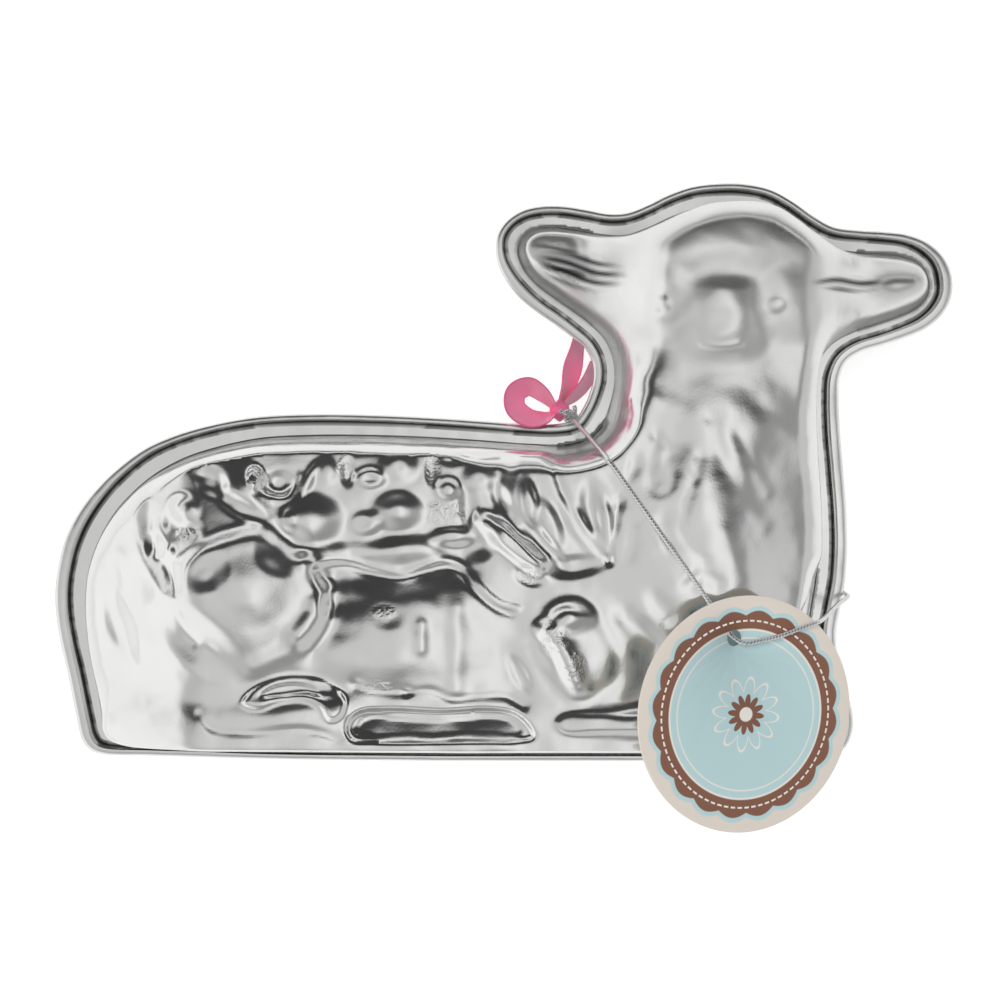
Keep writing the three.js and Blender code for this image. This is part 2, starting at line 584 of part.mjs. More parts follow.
// Knot of the cord, resting on the lip in the notch of the neck
const KNOT_SEAT = PARTING + LIP_HEIGHT + SEAT_GAP;
function cordKnot() {
  const geometry = new THREE.SphereGeometry(KNOT_RADIUS, ...KNOT_SEGMENTS);
  geometry.scale(1, 1, KNOT_SQUASH_SHARE);
  const knot = new THREE.Mesh(geometry, finish(CORD_SILVER, 0.35, 0.8));
  const middle = KNOT_SEAT + KNOT_RADIUS * KNOT_SQUASH_SHARE;
  knot.position.set(xAt(KNOT_PLACE_SHARE[0]), yAt(KNOT_PLACE_SHARE[1]), middle);
  return knot;
}

// Card tag, tilted down to the right where the cord holds it against the mould
function hangTag() {
  const outline = new THREE.Shape();
  outline.absarc(0, 0, TAG_DIAMETER / 2, 0, 2 * Math.PI);
  const holeAngle = Math.PI / 2 + THREE.MathUtils.degToRad(TAG_HOLE_TURN + TAG_LEAN);
  const holeReach = TAG_DIAMETER / 2 - TAG_HOLE_IN;
  const hole = new THREE.Path();
  const holeX = holeReach * Math.cos(holeAngle);
  const holeY = holeReach * Math.sin(holeAngle);
  hole.absarc(holeX, holeY, TAG_HOLE / 2, 0, 2 * Math.PI);
  const face = new THREE.Shape(outline.getSpacedPoints(TAG_SEGMENTS).slice(0, TAG_SEGMENTS));
  face.holes.push(new THREE.Path(hole.getSpacedPoints(HOLE_SEGMENTS).slice(0, HOLE_SEGMENTS)));
  const geometry = new THREE.ExtrudeGeometry(face, { depth: TAG_THICKNESS, bevelEnabled: false });
  geometry.translate(0, 0, -TAG_THICKNESS / 2);
  const tag = new THREE.Mesh(geometry, finish(CARD_CREAM, 0.7, 0));
  const middle = PARTING + FRONT_RISE + TAG_RIDE;
  tag.rotation.set(0, THREE.MathUtils.degToRad(TAG_TILT), -THREE.MathUtils.degToRad(TAG_LEAN), 'ZYX');
  tag.position.set(xAt(TAG_PLACE_SHARE[0]), yAt(TAG_PLACE_SHARE[1]), middle);
  return tag;
}

// Ribbon: flat bands and a tied knot joined into one solid
function toSolid(geometry) {
  const plain = geometry.clone();
  plain.deleteAttribute('normal');
  plain.deleteAttribute('uv');
  const merged = mergeVertices(plain, SHEET * WELD_SHARE);
  const triVerts = new Uint32Array(merged.index.array);
  const vertProperties = new Float32Array(merged.attributes.position.array);
  return new wasm.Manifold(new wasm.Mesh({ numProp: 3, vertProperties, triVerts }));
}

function band(points) {
  const samples = openCurve(points).getSpacedPoints(RIBBON_STEPS);
  const positions = [];
  const indices = [];
  samples.forEach((p, i) => {
    const ahead = samples[Math.min(i + 1, RIBBON_STEPS)];
    const behind = samples[Math.max(i - 1, 0)];
    const flat = Math.hypot(ahead.x - behind.x, ahead.y - behind.y);
    const nx = ((ahead.y - behind.y) / flat) * (RIBBON_THICKNESS / 2);
    const ny = (-(ahead.x - behind.x) / flat) * (RIBBON_THICKNESS / 2);
    const low = p.z - RIBBON_WIDTH / 2;
    const high = p.z + RIBBON_WIDTH / 2;
    positions.push(p.x + nx, p.y + ny, low, p.x + nx, p.y + ny, high);
    positions.push(p.x - nx, p.y - ny, high, p.x - nx, p.y - ny, low);
  });
  for (let i = 0; i < RIBBON_STEPS; i++) {
    for (let k = 0; k < 4; k++) {
      const a = i * 4 + k;
      const b = i * 4 + ((k + 1) % 4);
      indices.push(a, a + 4, b, b, a + 4, b + 4);
    }
  }
  const end = RIBBON_STEPS * 4;
  indices.push(0, 1, 2, 0, 2, 3, end, end + 2, end + 1, end, end + 3, end + 2);
  const geometry = new THREE.BufferGeometry();
  geometry.setAttribute('position', new THREE.Float32BufferAttribute(positions, 3));
  geometry.setIndex(indices);
  return geometry;
}

function ribbonBow() {
  const knot = new THREE.SphereGeometry(1, ...RIBBON_KNOT_SEGMENTS);
  knot.scale(RIBBON_KNOT[0] / 2, RIBBON_KNOT[1] / 2, RIBBON_KNOT[2] / 2);
  let bow = toSolid(knot);
  for (const points of [RIBBON_LOOP, ...RIBBON_TAILS]) bow = bow.add(toSolid(band(points)));
  const mesh = bow.getMesh();
  const geometry = new THREE.BufferGeometry();
  geometry.setAttribute('position', new THREE.Float32BufferAttribute(mesh.vertProperties, 3));
  geometry.setIndex([...mesh.triVerts]);
  const ribbon = new THREE.Mesh(geometry, finish(RIBBON_PINK, 0.4, 0));
  const [offsetX, offsetY, offsetZ] = RIBBON_KNOT_OFFSET;
  ribbon.position.set(
    xAt(KNOT_PLACE_SHARE[0]) + offsetX, yAt(KNOT_PLACE_SHARE[1]) + offsetY, PARTING + offsetZ,
  );
  return ribbon;
}

const mould = new THREE.Group();

function addPiece(name, piece) {
  piece.name = name;
  mould.add(piece);
}

addPiece('back_half', backHalf());
addPiece('front_half', frontHalf());
addPiece('elastic_cord', elasticCord());
addPiece('cord_knot', cordKnot());
addPiece('hang_tag', hangTag());
addPiece('ribbon_bow', ribbonBow());

export default mould;
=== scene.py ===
import math

import bmesh
import bpy
import numpy as np
from mathutils import Matrix, Vector
from mathutils.geometry import delaunay_2d_cdt
from mathutils.kdtree import KDTree


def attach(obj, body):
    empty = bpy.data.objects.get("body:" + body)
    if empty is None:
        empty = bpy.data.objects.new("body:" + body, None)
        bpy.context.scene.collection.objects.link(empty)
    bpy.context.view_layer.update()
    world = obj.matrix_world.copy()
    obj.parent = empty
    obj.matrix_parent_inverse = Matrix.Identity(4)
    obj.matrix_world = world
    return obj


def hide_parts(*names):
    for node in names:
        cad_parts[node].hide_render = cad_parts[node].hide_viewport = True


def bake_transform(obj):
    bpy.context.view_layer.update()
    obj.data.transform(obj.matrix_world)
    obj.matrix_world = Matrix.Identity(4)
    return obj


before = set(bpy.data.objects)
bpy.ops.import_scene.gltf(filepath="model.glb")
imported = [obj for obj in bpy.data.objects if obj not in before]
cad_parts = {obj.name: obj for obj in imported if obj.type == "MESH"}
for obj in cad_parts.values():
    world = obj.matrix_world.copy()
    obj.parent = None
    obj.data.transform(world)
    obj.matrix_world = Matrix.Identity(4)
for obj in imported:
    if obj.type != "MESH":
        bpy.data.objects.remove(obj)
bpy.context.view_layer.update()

# Camera: straight over the closed mould, which lies face up on its back half. At the parting plane the
# picture is 327 mm wide, and the distance gives the photograph's perspective.
MM = 0.001
PARTING = 46
VIEW_DISTANCE = 780
VIEW_WIDTH = 327
VIEW_MIDDLE_Y = 32.7
SENSOR_WIDTH = 36

camera_data = bpy.data.cameras.new("photo_camera")
camera_data.sensor_width = SENSOR_WIDTH
camera_data.lens = SENSOR_WIDTH * VIEW_DISTANCE / VIEW_WIDTH
camera = bpy.data.objects.new("photo_camera", camera_data)
camera.location = (0, VIEW_MIDDLE_Y * MM, (PARTING + VIEW_DISTANCE) * MM)
bpy.context.scene.collection.objects.link(camera)
bpy.context.scene.camera = camera


# Elastic cord: a thin elastic with a twisted silver cover. It is looped once round the closed mould and
# through the tag's hole, and both of its ends go into the knot at the neck.
CORD = 1.4
CORD_SIDES = 12
CORD_STEPS = 10
CORD_STRANDS = 2
CORD_TWIST = 1.1
CORD_THREAD_DEPTH = 0.04
CORD_ROUGHNESS = 0.22
CORD_SILVER = "#f0f1f2"
# Painted shade in the grooves between the twisted threads
CORD_GROOVE_PAINTED_SHADE = "#cfd0d2"
CORD_ROUTE = [
    (23.5, 58.7, 56.8), (27.1, 53.6, 73.4), (29.7, 49.9, 85.6), (30.8, 48.3, 90.6), (31.4, 47.4, 93.4),
    (32.2, 46.3, 96.2), (33.1, 44.9, 98.3), (34.5, 43, 99.4), (37, 39.4, 100.1), (40.7, 34.1, 101.1),
    (46.6, 25.7, 102.8), (52.6, 17.1, 104.5), (58.6, 8.6, 105.2), (64, 0.6, 105.6), (67.6, -5, 106.7),
    (70.4, -8.8, 108.6), (73.4, -10.4, 109.4), (77.8, -9.8, 108), (84, -8.6, 105.3), (90.6, -6.5, 102.6),
    (94, -5.4, 101.1), (96.9, -4.5, 99.4), (98.9, -3.8, 95.4), (103, -2.2, 82), (108, -0.2, 66.5),
    (112.4, 1.3, 53.8), (113, 1.7, 49), (109, 4.5, 42), (98.3, 11.8, 20.6), (94.5, 14.3, 13.4),
    (90.7, 16.8, 10.6), (86.9, 19.3, 9.3), (79.4, 24.3, 9.2), (68, 31.7, 9.2), (56.7, 39.1, 8.8),
    (49.2, 44.1, 7.6), (42.6, 48.5, 7.5), (39.8, 50.4, 9.6), (37.6, 51.8, 13.2), (31, 56.2, 28.6),
    (26, 59.5, 40.4), (23.8, 60.9, 45.6), (22.9, 61.6, 50.6),
]


def curve_through(rows, steps, closed=False):
    """Points of a centripetal curve through the rows, with the given steps from one row to the next."""
    points = [Vector(row) for row in rows]
    if closed:
        points = [points[-1], *points, points[0], points[1]]
    else:
        points = [2 * points[0] - points[1], *points, 2 * points[-1] - points[-2]]
    found = []
    for a, b, c, d in zip(points, points[1:], points[2:], points[3:]):
        ta = 0
        tb = ta + (b - a).length ** 0.5
        tc = tb + (c - b).length ** 0.5
        td = tc + (d - c).length ** 0.5
        for step in range(steps):
            t = tb + (tc - tb) * step / steps
            ab = a.lerp(b, (t - ta) / (tb - ta))
            bc = b.lerp(c, (t - tb) / (tc - tb))
            cd = c.lerp(d, (t - tc) / (td - tc))
            abc = ab.lerp(bc, (t - ta) / (tc - ta))
            bcd = bc.lerp(cd, (t - tb) / (td - tb))
            found.append(abc.lerp(bcd, (t - tb) / (tc - tb)))
    if not closed:
        found.append(points[-2].copy())
    return found


def add_object(name, vertices, faces, uv=None):
    """A smooth-shaded mesh object from places in millimetres."""
    mesh = bpy.data.meshes.new(name)
    mesh.from_pydata([Vector(v) * MM for v in vertices], [], faces)
    if uv is not None:
        layer = mesh.uv_layers.new(name="UVMap")
        corners = np.asarray([uv[i] for polygon in mesh.polygons for i in polygon.vertices])
        layer.data.foreach_set("uv", corners.ravel())
    mesh.shade_smooth()
    made = bpy.data.objects.new(name, mesh)
    bpy.context.scene.collection.objects.link(made)
    return made


def tube(name, path, radius, sides):
    """A closed round tube along a path. Its UV map holds the turn round it and the run along it in mm."""
    rows = []
    uv = []
    run = 0
    tangent = (path[1] - path[0]).normalized()
    side = tangent.orthogonal().normalized()
    for i, point in enumerate(path):
        ahead = path[min(i + 1, len(path) - 1)]
        behind = path[max(i - 1, 0)]
        tangent = (ahead - behind).normalized()
        side = (side - tangent * side.dot(tangent)).normalized()
        other = tangent.cross(side)
        run += (point - behind).length
        for k in range(sides + 1):
            angle = 2 * math.pi * k / sides
            rows.append(point + radius * (side * math.cos(angle) + other * math.sin(angle)))
            uv.append((k / sides, run))
    ring = sides + 1
    faces = []
    for i in range(len(path) - 1):
        for k in range(sides):
            a = i * ring + k
            faces.append((a, a + 1, a + ring + 1, a + ring))
    faces.append(tuple(range(sides - 1, -1, -1)))
    faces.append(tuple((len(path) - 1) * ring + k for k in range(sides)))
    made = add_object(name, rows, faces, uv)
    shell = bmesh.new()
    shell.from_mesh(made.data)
    bmesh.ops.remove_doubles(shell, verts=shell.verts, dist=radius * MM / sides)
    shell.to_mesh(made.data)
    shell.free()
    return made


def colour(hex_value):
    """Linear colour of an sRGB hex value."""
    parts = [int(hex_value[i:i + 2], 16) / 255 for i in (1, 3, 5)]
    return [c / 12.92 if c <= 0.04045 else ((c + 0.055) / 1.055) ** 2.4 for c in parts] + [1]


def node(tree, kind, settings=None, **links):
    """Adds a node, sets its settings, and links or sets its inputs by name, or by in0, in1 and so on."""
    made = tree.nodes.new(kind)
    for name, value in (settings or {}).items():
        setattr(made, name, value)
    for name, value in links.items():
        plain = name.replace("_", " ")
        socket = made.inputs[int(name[2:])] if name[:2] == "in" and name[2:].isdigit() else made.inputs[plain]
        if isinstance(value, bpy.types.NodeSocket):
            tree.links.new(value, socket)
        else:
            socket.default_value = value
    return made


def new_material(name):
    """An empty node material and its tree, with the output node in place."""
    material = bpy.data.materials.new(name)
    material.use_nodes = True
    material.node_tree.nodes.clear()
    return material, material.node_tree


# Silver-covered elastic: fine metal-coated threads laid in a tight twist, which gives slanting glints
def silver_elastic():
    material, tree = new_material("silver_elastic")
    place = node(tree, "ShaderNodeUVMap", {"uv_map": "UVMap"})
    split = node(tree, "ShaderNodeSeparateXYZ", Vector=place.outputs["UV"])
    around = node(tree, "ShaderNodeMath", {"operation": "MULTIPLY"}, in0=split.outputs["X"],
                  in1=CORD_STRANDS)
    along = node(tree, "ShaderNodeMath", {"operation": "DIVIDE"}, in0=split.outputs["Y"], in1=CORD_TWIST)
    turn = node(tree, "ShaderNodeMath", {"operation": "ADD"}, in0=around.outputs[0], in1=along.outputs[0])
    phase = node(tree, "ShaderNodeMath", {"operation": "MULTIPLY"}, in0=turn.outputs[0], in1=2 * math.pi)
    wave = node(tree, "ShaderNodeMath", {"operation": "SINE"}, in0=phase.outputs[0])
    share = node(tree, "ShaderNodeMapRange", in0=wave.outputs[0], in1=-1.0, in2=1.0)
    # Painted shade: the tint darkens where the threads' bump is low, in the grooves between them
    tint = node(tree, "ShaderNodeMix", {"data_type": "RGBA"}, in0=share.outputs[0],
                in6=colour(CORD_GROOVE_PAINTED_SHADE), in7=colour(CORD_SILVER))
    bump = node(tree, "ShaderNodeBump", Distance=CORD_THREAD_DEPTH * MM, Height=share.outputs[0])
    shader = node(tree, "ShaderNodeBsdfPrincipled", Base_Color=tint.outputs[2], Metallic=1.0,
                  Roughness=CORD_ROUGHNESS, Normal=bump.outputs[0])
    node(tree, "ShaderNodeOutputMaterial", Surface=shader.outputs[0])
    return material


cord_path = curve_through(CORD_ROUTE, CORD_STEPS)
cord = tube("elastic_cord_twist", cord_path, CORD / 2, CORD_SIDES)
cord.data.materials.append(silver_elastic())
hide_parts("elastic_cord")
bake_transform(cord)


# Studio: a plain white table under the mould. Overhead hangs a pale grey card with a dark room and a thin
# row of lights round it, white towards the viewer's feet, whose reflections draw the relief. A soft lamp
# over the camera's shoulder gives the shadow.
FLOOR_SIZE = 3000
FLOOR_WHITE = "#f4f4f4"
FLOOR_GLOWS = (0.2, 0.5)
# Tones of the sky, and the steps between them. A step goes from 0 to 1 between two places along one axis
# of the direction that a reflection looks in.
SKY_TONES = {
    "card_left": "#d3d3d2", "card_right": "#f6f6f5", "side_left": "#c2c2c2", "side_right": "#969696",
    "horizon_left": "#ffffff", "horizon_right": "#cdcdcd", "dark": "#3c3c3d", "glint": "#f4f4f4",
    "low": "#464647",
}
SKY_STEPS = {
    "card_turn": ("X", -0.16, 0.2), "side_turn": ("X", -0.5, 0.05), "dark_toward": ("Y", 0.05, 0.38),
    "card_edge": ("Z", 0.97, 0.84), "side_edge": ("Z", 0.97, 0.78), "ring_edge": ("Z", 0.7, 0.45),
    "glint_edge": ("Z", 0.56, 0.44), "low_edge": ("Z", 0.38, 0.28), "horizon_edge": ("Z", 0.2, 0.1),
}
# In order: the tone that is made, the step, and the tones before and after it
SKY_MIXES = [
    ("card", "card_turn", "card_left", "card_right"), ("side", "side_turn", "side_left", "side_right"),
    ("horizon", "side_turn", "horizon_left", "horizon_right"), ("near", "side_edge", "card", "side"),
    ("near", "ring_edge", "near", "horizon"), ("far", "card_edge", "card", "dark"),
    ("far", "glint_edge", "far", "glint"), ("far", "low_edge", "far", "low"),
    ("far", "horizon_edge", "far", "horizon"), ("whole", "dark_toward", "near", "far"),
]
LAMP_POWER = 6
LAMP_SIZE = 900
LAMP_PLACE = (-160, 200, 1150)


def white_floor():
    material, tree = new_material("white_floor")
    diffuse = node(tree, "ShaderNodeBsdfDiffuse", Color=colour(FLOOR_WHITE))
    path = node(tree, "ShaderNodeLightPath")
    share = node(tree, "ShaderNodeMapRange", in0=path.outputs["Is Camera Ray"], in3=FLOOR_GLOWS[0],
                 in4=FLOOR_GLOWS[1])
    glow = node(tree, "ShaderNodeEmission", Color=colour("#ffffff"), Strength=share.outputs[0])
    both = node(tree, "ShaderNodeAddShader", in0=diffuse.outputs[0], in1=glow.outputs[0])
    node(tree, "ShaderNodeOutputMaterial", Surface=both.outputs[0])
    return material


half_floor = FLOOR_SIZE / 2
floor = add_object(
    "floor",
    [(-half_floor, -half_floor, 0), (half_floor, -half_floor, 0), (half_floor, half_floor, 0),
     (-half_floor, half_floor, 0)],
    [(0, 1, 2, 3)],
)
floor.data.materials.append(white_floor())


def studio_sky():
    world = bpy.data.worlds.new("studio_sky")
    world.use_nodes = True
    tree = world.node_tree
    tree.nodes.clear()
    place = node(tree, "ShaderNodeTexCoord")
    split = node(tree, "ShaderNodeSeparateXYZ", Vector=place.outputs["Generated"])
    tones = {name: colour(tone) for name, tone in SKY_TONES.items()}
    steps = {}
    for name, (axis, start, end) in SKY_STEPS.items():
        step = node(tree, "ShaderNodeMapRange", {"interpolation_type": "SMOOTHSTEP"},
                    in0=split.outputs[axis], in1=start, in2=end)
        steps[name] = step.outputs[0]
    for name, step, before, after in SKY_MIXES:
        mixed = node(tree, "ShaderNodeMix", {"data_type": "RGBA"}, in0=steps[step], in6=tones[before],
                     in7=tones[after])
        tones[name] = mixed.outputs[2]
    path = node(tree, "ShaderNodeLightPath")
    seen = node(tree, "ShaderNodeMix", {"data_type": "RGBA"}, in0=path.outputs["Is Camera Ray"],
                in6=tones["whole"], in7=tones["horizon_left"])
    sky = node(tree, "ShaderNodeBackground", Color=seen.outputs[2], Strength=1.0)
    node(tree, "ShaderNodeOutputWorld", Surface=sky.outputs[0])
    return world


bpy.context.scene.world = studio_sky()
lamp_data = bpy.data.lights.new("soft_lamp", "AREA")
lamp_data.energy = LAMP_POWER
lamp_data.size = LAMP_SIZE * MM
lamp = bpy.data.objects.new("soft_lamp", lamp_data)
lamp.location = Vector(LAMP_PLACE) * MM
lamp.rotation_euler = (-lamp.location).to_track_quat("-Z", "Y").to_euler()
lamp.visible_glossy = False
bpy.context.scene.collection.objects.link(lamp)
bpy.context.scene.view_settings.view_transform = "Standard"


# Back half: 1 mm aluminium sheet, drawn in a press to the far side of the lamb, with a flat flange and an
# upturned lip whose edge is rolled. It is the body that the rest is put on.
LENGTH = 292
HEIGHT = 188
BACK_DEPTH = 46
SHEET = 1
ORIGIN_SHARE = (0.496, 0.278)
LIP_BAND = 3.8
LIP_HEIGHT = 5
LIP_SLOPE = 0.3
BEAD_DROP = 1.1
BEAD_THICKNESS = 1.2
BEAD_CREST_SHARES = (0.35, 0.8)
RIM_SHARES = [
    (0.053, 0.012, 0.7), (0.039, 0.02, 0.9), (0.03, 0.038, 1), (0.025, 0.07, 1), (0.02, 0.108, 1),
    (0.0145, 0.15, 1), (0.007, 0.2, 1), (0.0015, 0.252, 1), (0.0005, 0.296, 1), (0.004, 0.339, 1),
    (0.012, 0.386, 1), (0.026, 0.43, 0.95), (0.046, 0.471, 0.85), (0.0705, 0.508, 0.75),
    (0.102, 0.543, 0.65), (0.138, 0.567, 0.6), (0.177, 0.5835, 0.55), (0.225, 0.5965, 0.55),
    (0.281, 0.601, 0.55), (0.348, 0.6, 0.55), (0.4155, 0.5955, 0.55), (0.474, 0.5895, 0.55),
    (0.524, 0.584, 0.6), (0.559, 0.5835, 0.65), (0.579, 0.591, 0.7), (0.589, 0.612, 0.7),
    (0.596, 0.6365, 0.7), (0.6, 0.664, 0.75), (0.5985, 0.692, 0.75), (0.59, 0.7165, 0.75),
    (0.5755, 0.735, 0.8), (0.558, 0.755, 0.85), (0.5375, 0.777, 0.85), (0.5185, 0.801, 0.9),
    (0.5035, 0.8295, 0.85), (0.494, 0.859, 0.75), (0.491, 0.889, 0.65), (0.494, 0.9155, 0.6),
    (0.505, 0.938, 0.55), (0.522, 0.954, 0.55), (0.543, 0.961, 0.55), (0.5665, 0.961, 0.55),
    (0.592, 0.955, 0.55), (0.617, 0.948, 0.55), (0.637, 0.9495, 0.55), (0.6595, 0.9625, 0.55),
    (0.684, 0.981, 0.55), (0.711, 0.995, 0.55), (0.74, 1, 0.55), (0.77, 0.999, 0.55),
    (0.798, 0.9895, 0.55), (0.823, 0.9685, 0.55), (0.8455, 0.9435, 0.55), (0.868, 0.925, 0.55),
    (0.896, 0.919, 0.55), (0.924, 0.9165, 0.6), (0.9485, 0.912, 0.65), (0.971, 0.899, 0.75),
    (0.989, 0.875, 0.85), (0.999, 0.842, 1), (0.999, 0.805, 1), (0.989, 0.774, 1), (0.971, 0.7495, 0.95),
    (0.947, 0.733, 0.9), (0.9215, 0.72, 0.85), (0.897, 0.708, 0.85), (0.881, 0.6905, 0.85),
    (0.874, 0.664, 0.9), (0.873, 0.626, 0.95), (0.8745, 0.574, 1), (0.878, 0.508, 1), (0.8815, 0.435, 1),
    (0.8825, 0.3685, 1), (0.88, 0.3095, 1), (0.8745, 0.264, 1), (0.87, 0.2225, 1), (0.8725, 0.177, 1),
    (0.88, 0.132, 1), (0.888, 0.09, 1), (0.889, 0.0555, 0.95), (0.881, 0.024, 0.85), (0.8635, 0.006, 0.7),
    (0.8095, 0.002, 0.6), (0.73, 0.001, 0.55), (0.653, 0, 0.55), (0.58, 0, 0.55), (0.51, 0, 0.55),
    (0.44, 0, 0.55), (0.37, 0.001, 0.55), (0.3, 0.002, 0.55), (0.227, 0.004, 0.55), (0.16, 0.007, 0.6),
    (0.104, 0.0095, 0.6),
]
FOOT_SHARES = [
    (0.093, 0.031), (0.073, 0.04), (0.0615, 0.059), (0.056, 0.094), (0.0505, 0.132), (0.0425, 0.188),
    (0.038, 0.2435), (0.0375, 0.2955), (0.0415, 0.339), (0.0505, 0.381), (0.065, 0.421), (0.086, 0.459),
    (0.113, 0.494), (0.1465, 0.522), (0.185, 0.541), (0.2295, 0.555), (0.283, 0.56), (0.3505, 0.56),
    (0.4175, 0.5565), (0.476, 0.5505), (0.5295, 0.5445), (0.57, 0.5445), (0.597, 0.5565), (0.6125, 0.581),
    (0.6215, 0.6155), (0.627, 0.6575), (0.625, 0.699), (0.615, 0.734), (0.597, 0.762), (0.5755, 0.786),
    (0.554, 0.8095), (0.5365, 0.831), (0.524, 0.8555), (0.518, 0.8835), (0.522, 0.904), (0.534, 0.918),
    (0.554, 0.922), (0.58, 0.9175), (0.608, 0.909), (0.636, 0.907), (0.662, 0.92), (0.6885, 0.939),
    (0.7165, 0.954), (0.7445, 0.959), (0.7715, 0.958), (0.796, 0.948), (0.8175, 0.927), (0.8385, 0.9035),
    (0.8635, 0.885), (0.8935, 0.878), (0.924, 0.8755), (0.946, 0.871), (0.963, 0.859), (0.972, 0.8365),
    (0.972, 0.8105), (0.962, 0.7895), (0.942, 0.774), (0.916, 0.76), (0.888, 0.746), (0.8645, 0.725),
    (0.85, 0.694), (0.844, 0.652), (0.843, 0.6), (0.8455, 0.53), (0.849, 0.452), (0.85, 0.374),
    (0.8465, 0.3095), (0.841, 0.257), (0.839, 0.209), (0.843, 0.16), (0.852, 0.115), (0.8565, 0.078),
    (0.85, 0.047), (0.832, 0.031), (0.798, 0.028), (0.75, 0.027), (0.7, 0.0265), (0.65, 0.026),
    (0.6, 0.026), (0.55, 0.026), (0.5, 0.026), (0.45, 0.026), (0.4, 0.0265), (0.35, 0.027), (0.3, 0.0275),
    (0.25, 0.028), (0.2, 0.0285), (0.149, 0.0295),
]
RIM_STEPS = 8
FOOT_STEPS = 14
BACK_SHOULDERS = (15, 9, 15)
BASE_SHOULDER = 4
SPINE_END_SHARES = (0.08, 0.18)
SPINE_NECK_SHARES = (0.42, 0.52)
SPINE_LOW_SHARES = (0.3, 0.4)
WALL_FULLNESS = 2.4
UPRIGHT_SHARES = (0.42, 0.78)
FOOT_FILLET = 1.0
HEAD_AXIS_SHARE = 0.748
EAR_ROOT_SHARES = (0.06, 0.185)
EAR_LOW_SHARES = (0.64, 0.72)
BASE_BAND_SHARES = (0.05, 0.17)
NECK_SHARES = (0.55, 0.66)
BACK_FORM_SHARES = [
    (0.23, 0.29, 0.12, 0.12, 0, 0.3), (0.43, 0.3, 0.17, 0.13, 0, 0.3), (0.19, 0.47, 0.05, 0.03, 20, 0.06),
    (0.31, 0.5, 0.05, 0.026, 0, 0.06), (0.45, 0.49, 0.05, 0.026, 0, 0.06), (0.73, 0.84, 0.1, 0.075, 0, 0.1),
]
BACK_BODY_SHARE = 0.9
BACK_BREAST_SHARE = 0.76
BACK_HEAD_SHARE = 0.78
BACK_EAR_SHARE = 0.3
BACK_BREAST_EDGE_SHARES = (0.6, 0.7)
FINE_GRID = 0.85
PLAIN_GRID = 1.7
INNER_GRID = 2.4
RING_DEPTHS = (-1.0, -0.6, -0.25, 0, 0.25, 0.6, 1.0, 1.5, 2.1, 2.8, 3.6, 4.5, 5.5)
RING_CROWDING = 0.4
RING_MISS = 0.1
GRID_CLEAR = 0.6
PLAN_WELD = 1e-5
SLOPE_STEP = 0.3
SHEET_SHARP = 50
FOLD_REACH = 0.1


def x_at(share):
    return (share - ORIGIN_SHARE[0]) * LENGTH


def y_at(share):
    return (share - ORIGIN_SHARE[1]) * HEIGHT


def closed_outline(rows, steps):
    """Places on a closed outline, the unit direction inwards at each, and the row's third value."""
    spots = curve_through([(x_at(r[0]), y_at(r[1]), r[2] if len(r) > 2 else 0) for r in rows], steps, True)
    places = np.array([(p.x, p.y) for p in spots])
    third = np.array([p.z for p in spots])
    run = np.roll(places, -1, axis=0) - np.roll(places, 1, axis=0)
    run /= np.linalg.norm(run, axis=1)[:, None]
    inwards = np.stack([run[:, 1], -run[:, 0]], axis=1)
    return places, inwards, third


rim, rim_in, rim_band = closed_outline(RIM_SHARES, RIM_STEPS)
foot, foot_in, _ = closed_outline(FOOT_SHARES, FOOT_STEPS)


def tree_of(rows):
    """A tree that finds the nearest of the rows."""
    tree = KDTree(len(rows))
    for i, row in enumerate(rows):
        tree.insert(row, i)
    tree.balance()
    return tree


foot_tree = tree_of([(x, y, 0) for x, y in foot])


def depth_inside(places):
    """Distance in from the foot of the wall, below zero on the flange."""
    near = np.array([foot_tree.find((x, y, 0))[1] for x, y in places])
    least = np.full(len(places), np.inf)
    for first, last in ((near - 1, near), (near, (near + 1) % len(foot))):
        start = foot[first]
        run = foot[last] - start
        share = ((places - start) * run).sum(axis=1) / (run * run).sum(axis=1)
        share = np.clip(share, 0, 1)[:, None]
        least = np.minimum(least, np.linalg.norm(places - start - share * run, axis=1))
    inside = ((places - foot[near]) * foot_in[near]).sum(axis=1) >= 0
    return np.where(inside, least, -least)


def smooth(start, end, value):
    t = np.clip((value - start) / (end - start), 0, 1)
    return t * t * (3 - 2 * t)


def gentle(start, end, value):
    """As smooth, but it starts and ends without a crease."""
    t = np.clip((value - start) / (end - start), 0, 1)
    return t ** 3 * (10 - 15 * t + 6 * t * t)


def mix(a, b, share):
    return a + (b - a) * share


def form_reach(x, y, middle_x, middle_y, half_long, half_short, turn):
    """Distance from a form's middle, as a share of its half sizes, squared."""
    angle = math.radians(turn)
    dx = x - middle_x
    dy = y - middle_y
    along = (dx * math.cos(angle) + dy * math.sin(angle)) / half_long
    across = (dy * math.cos(angle) - dx * math.sin(angle)) / half_short
    return along * along + across * across


def rounded_form(x, y, row):
    px, py, half_long, half_short, turn, rise = row
    reach = form_reach(x, y, x_at(px), y_at(py), half_long * LENGTH, half_short * LENGTH, turn)
    return rise * np.clip(1 - reach / 2, 0, 1) ** 2


def line_distance(x, y, line):
    least = np.full(len(x), np.inf)
    for (ax, ay), (bx, by) in zip(line, line[1:]):
        run_x = bx - ax
        run_y = by - ay
        t = ((x - ax) * run_x + (y - ay) * run_y) / (run_x ** 2 + run_y ** 2)
        t = np.clip(t, 0, 1)
        least = np.minimum(least, np.hypot(x - ax - t * run_x, y - ay - t * run_y))
    return least


def ear_share(x, y):
    out = gentle(EAR_ROOT_SHARES[0] * LENGTH, EAR_ROOT_SHARES[1] * LENGTH, abs(x - x_at(HEAD_AXIS_SHARE)))
    return out * gentle(y_at(EAR_LOW_SHARES[0]), y_at(EAR_LOW_SHARES[1]), y)


def base_share(y):
    return 1 - smooth(y_at(BASE_BAND_SHARES[0]), y_at(BASE_BAND_SHARES[1]), y)


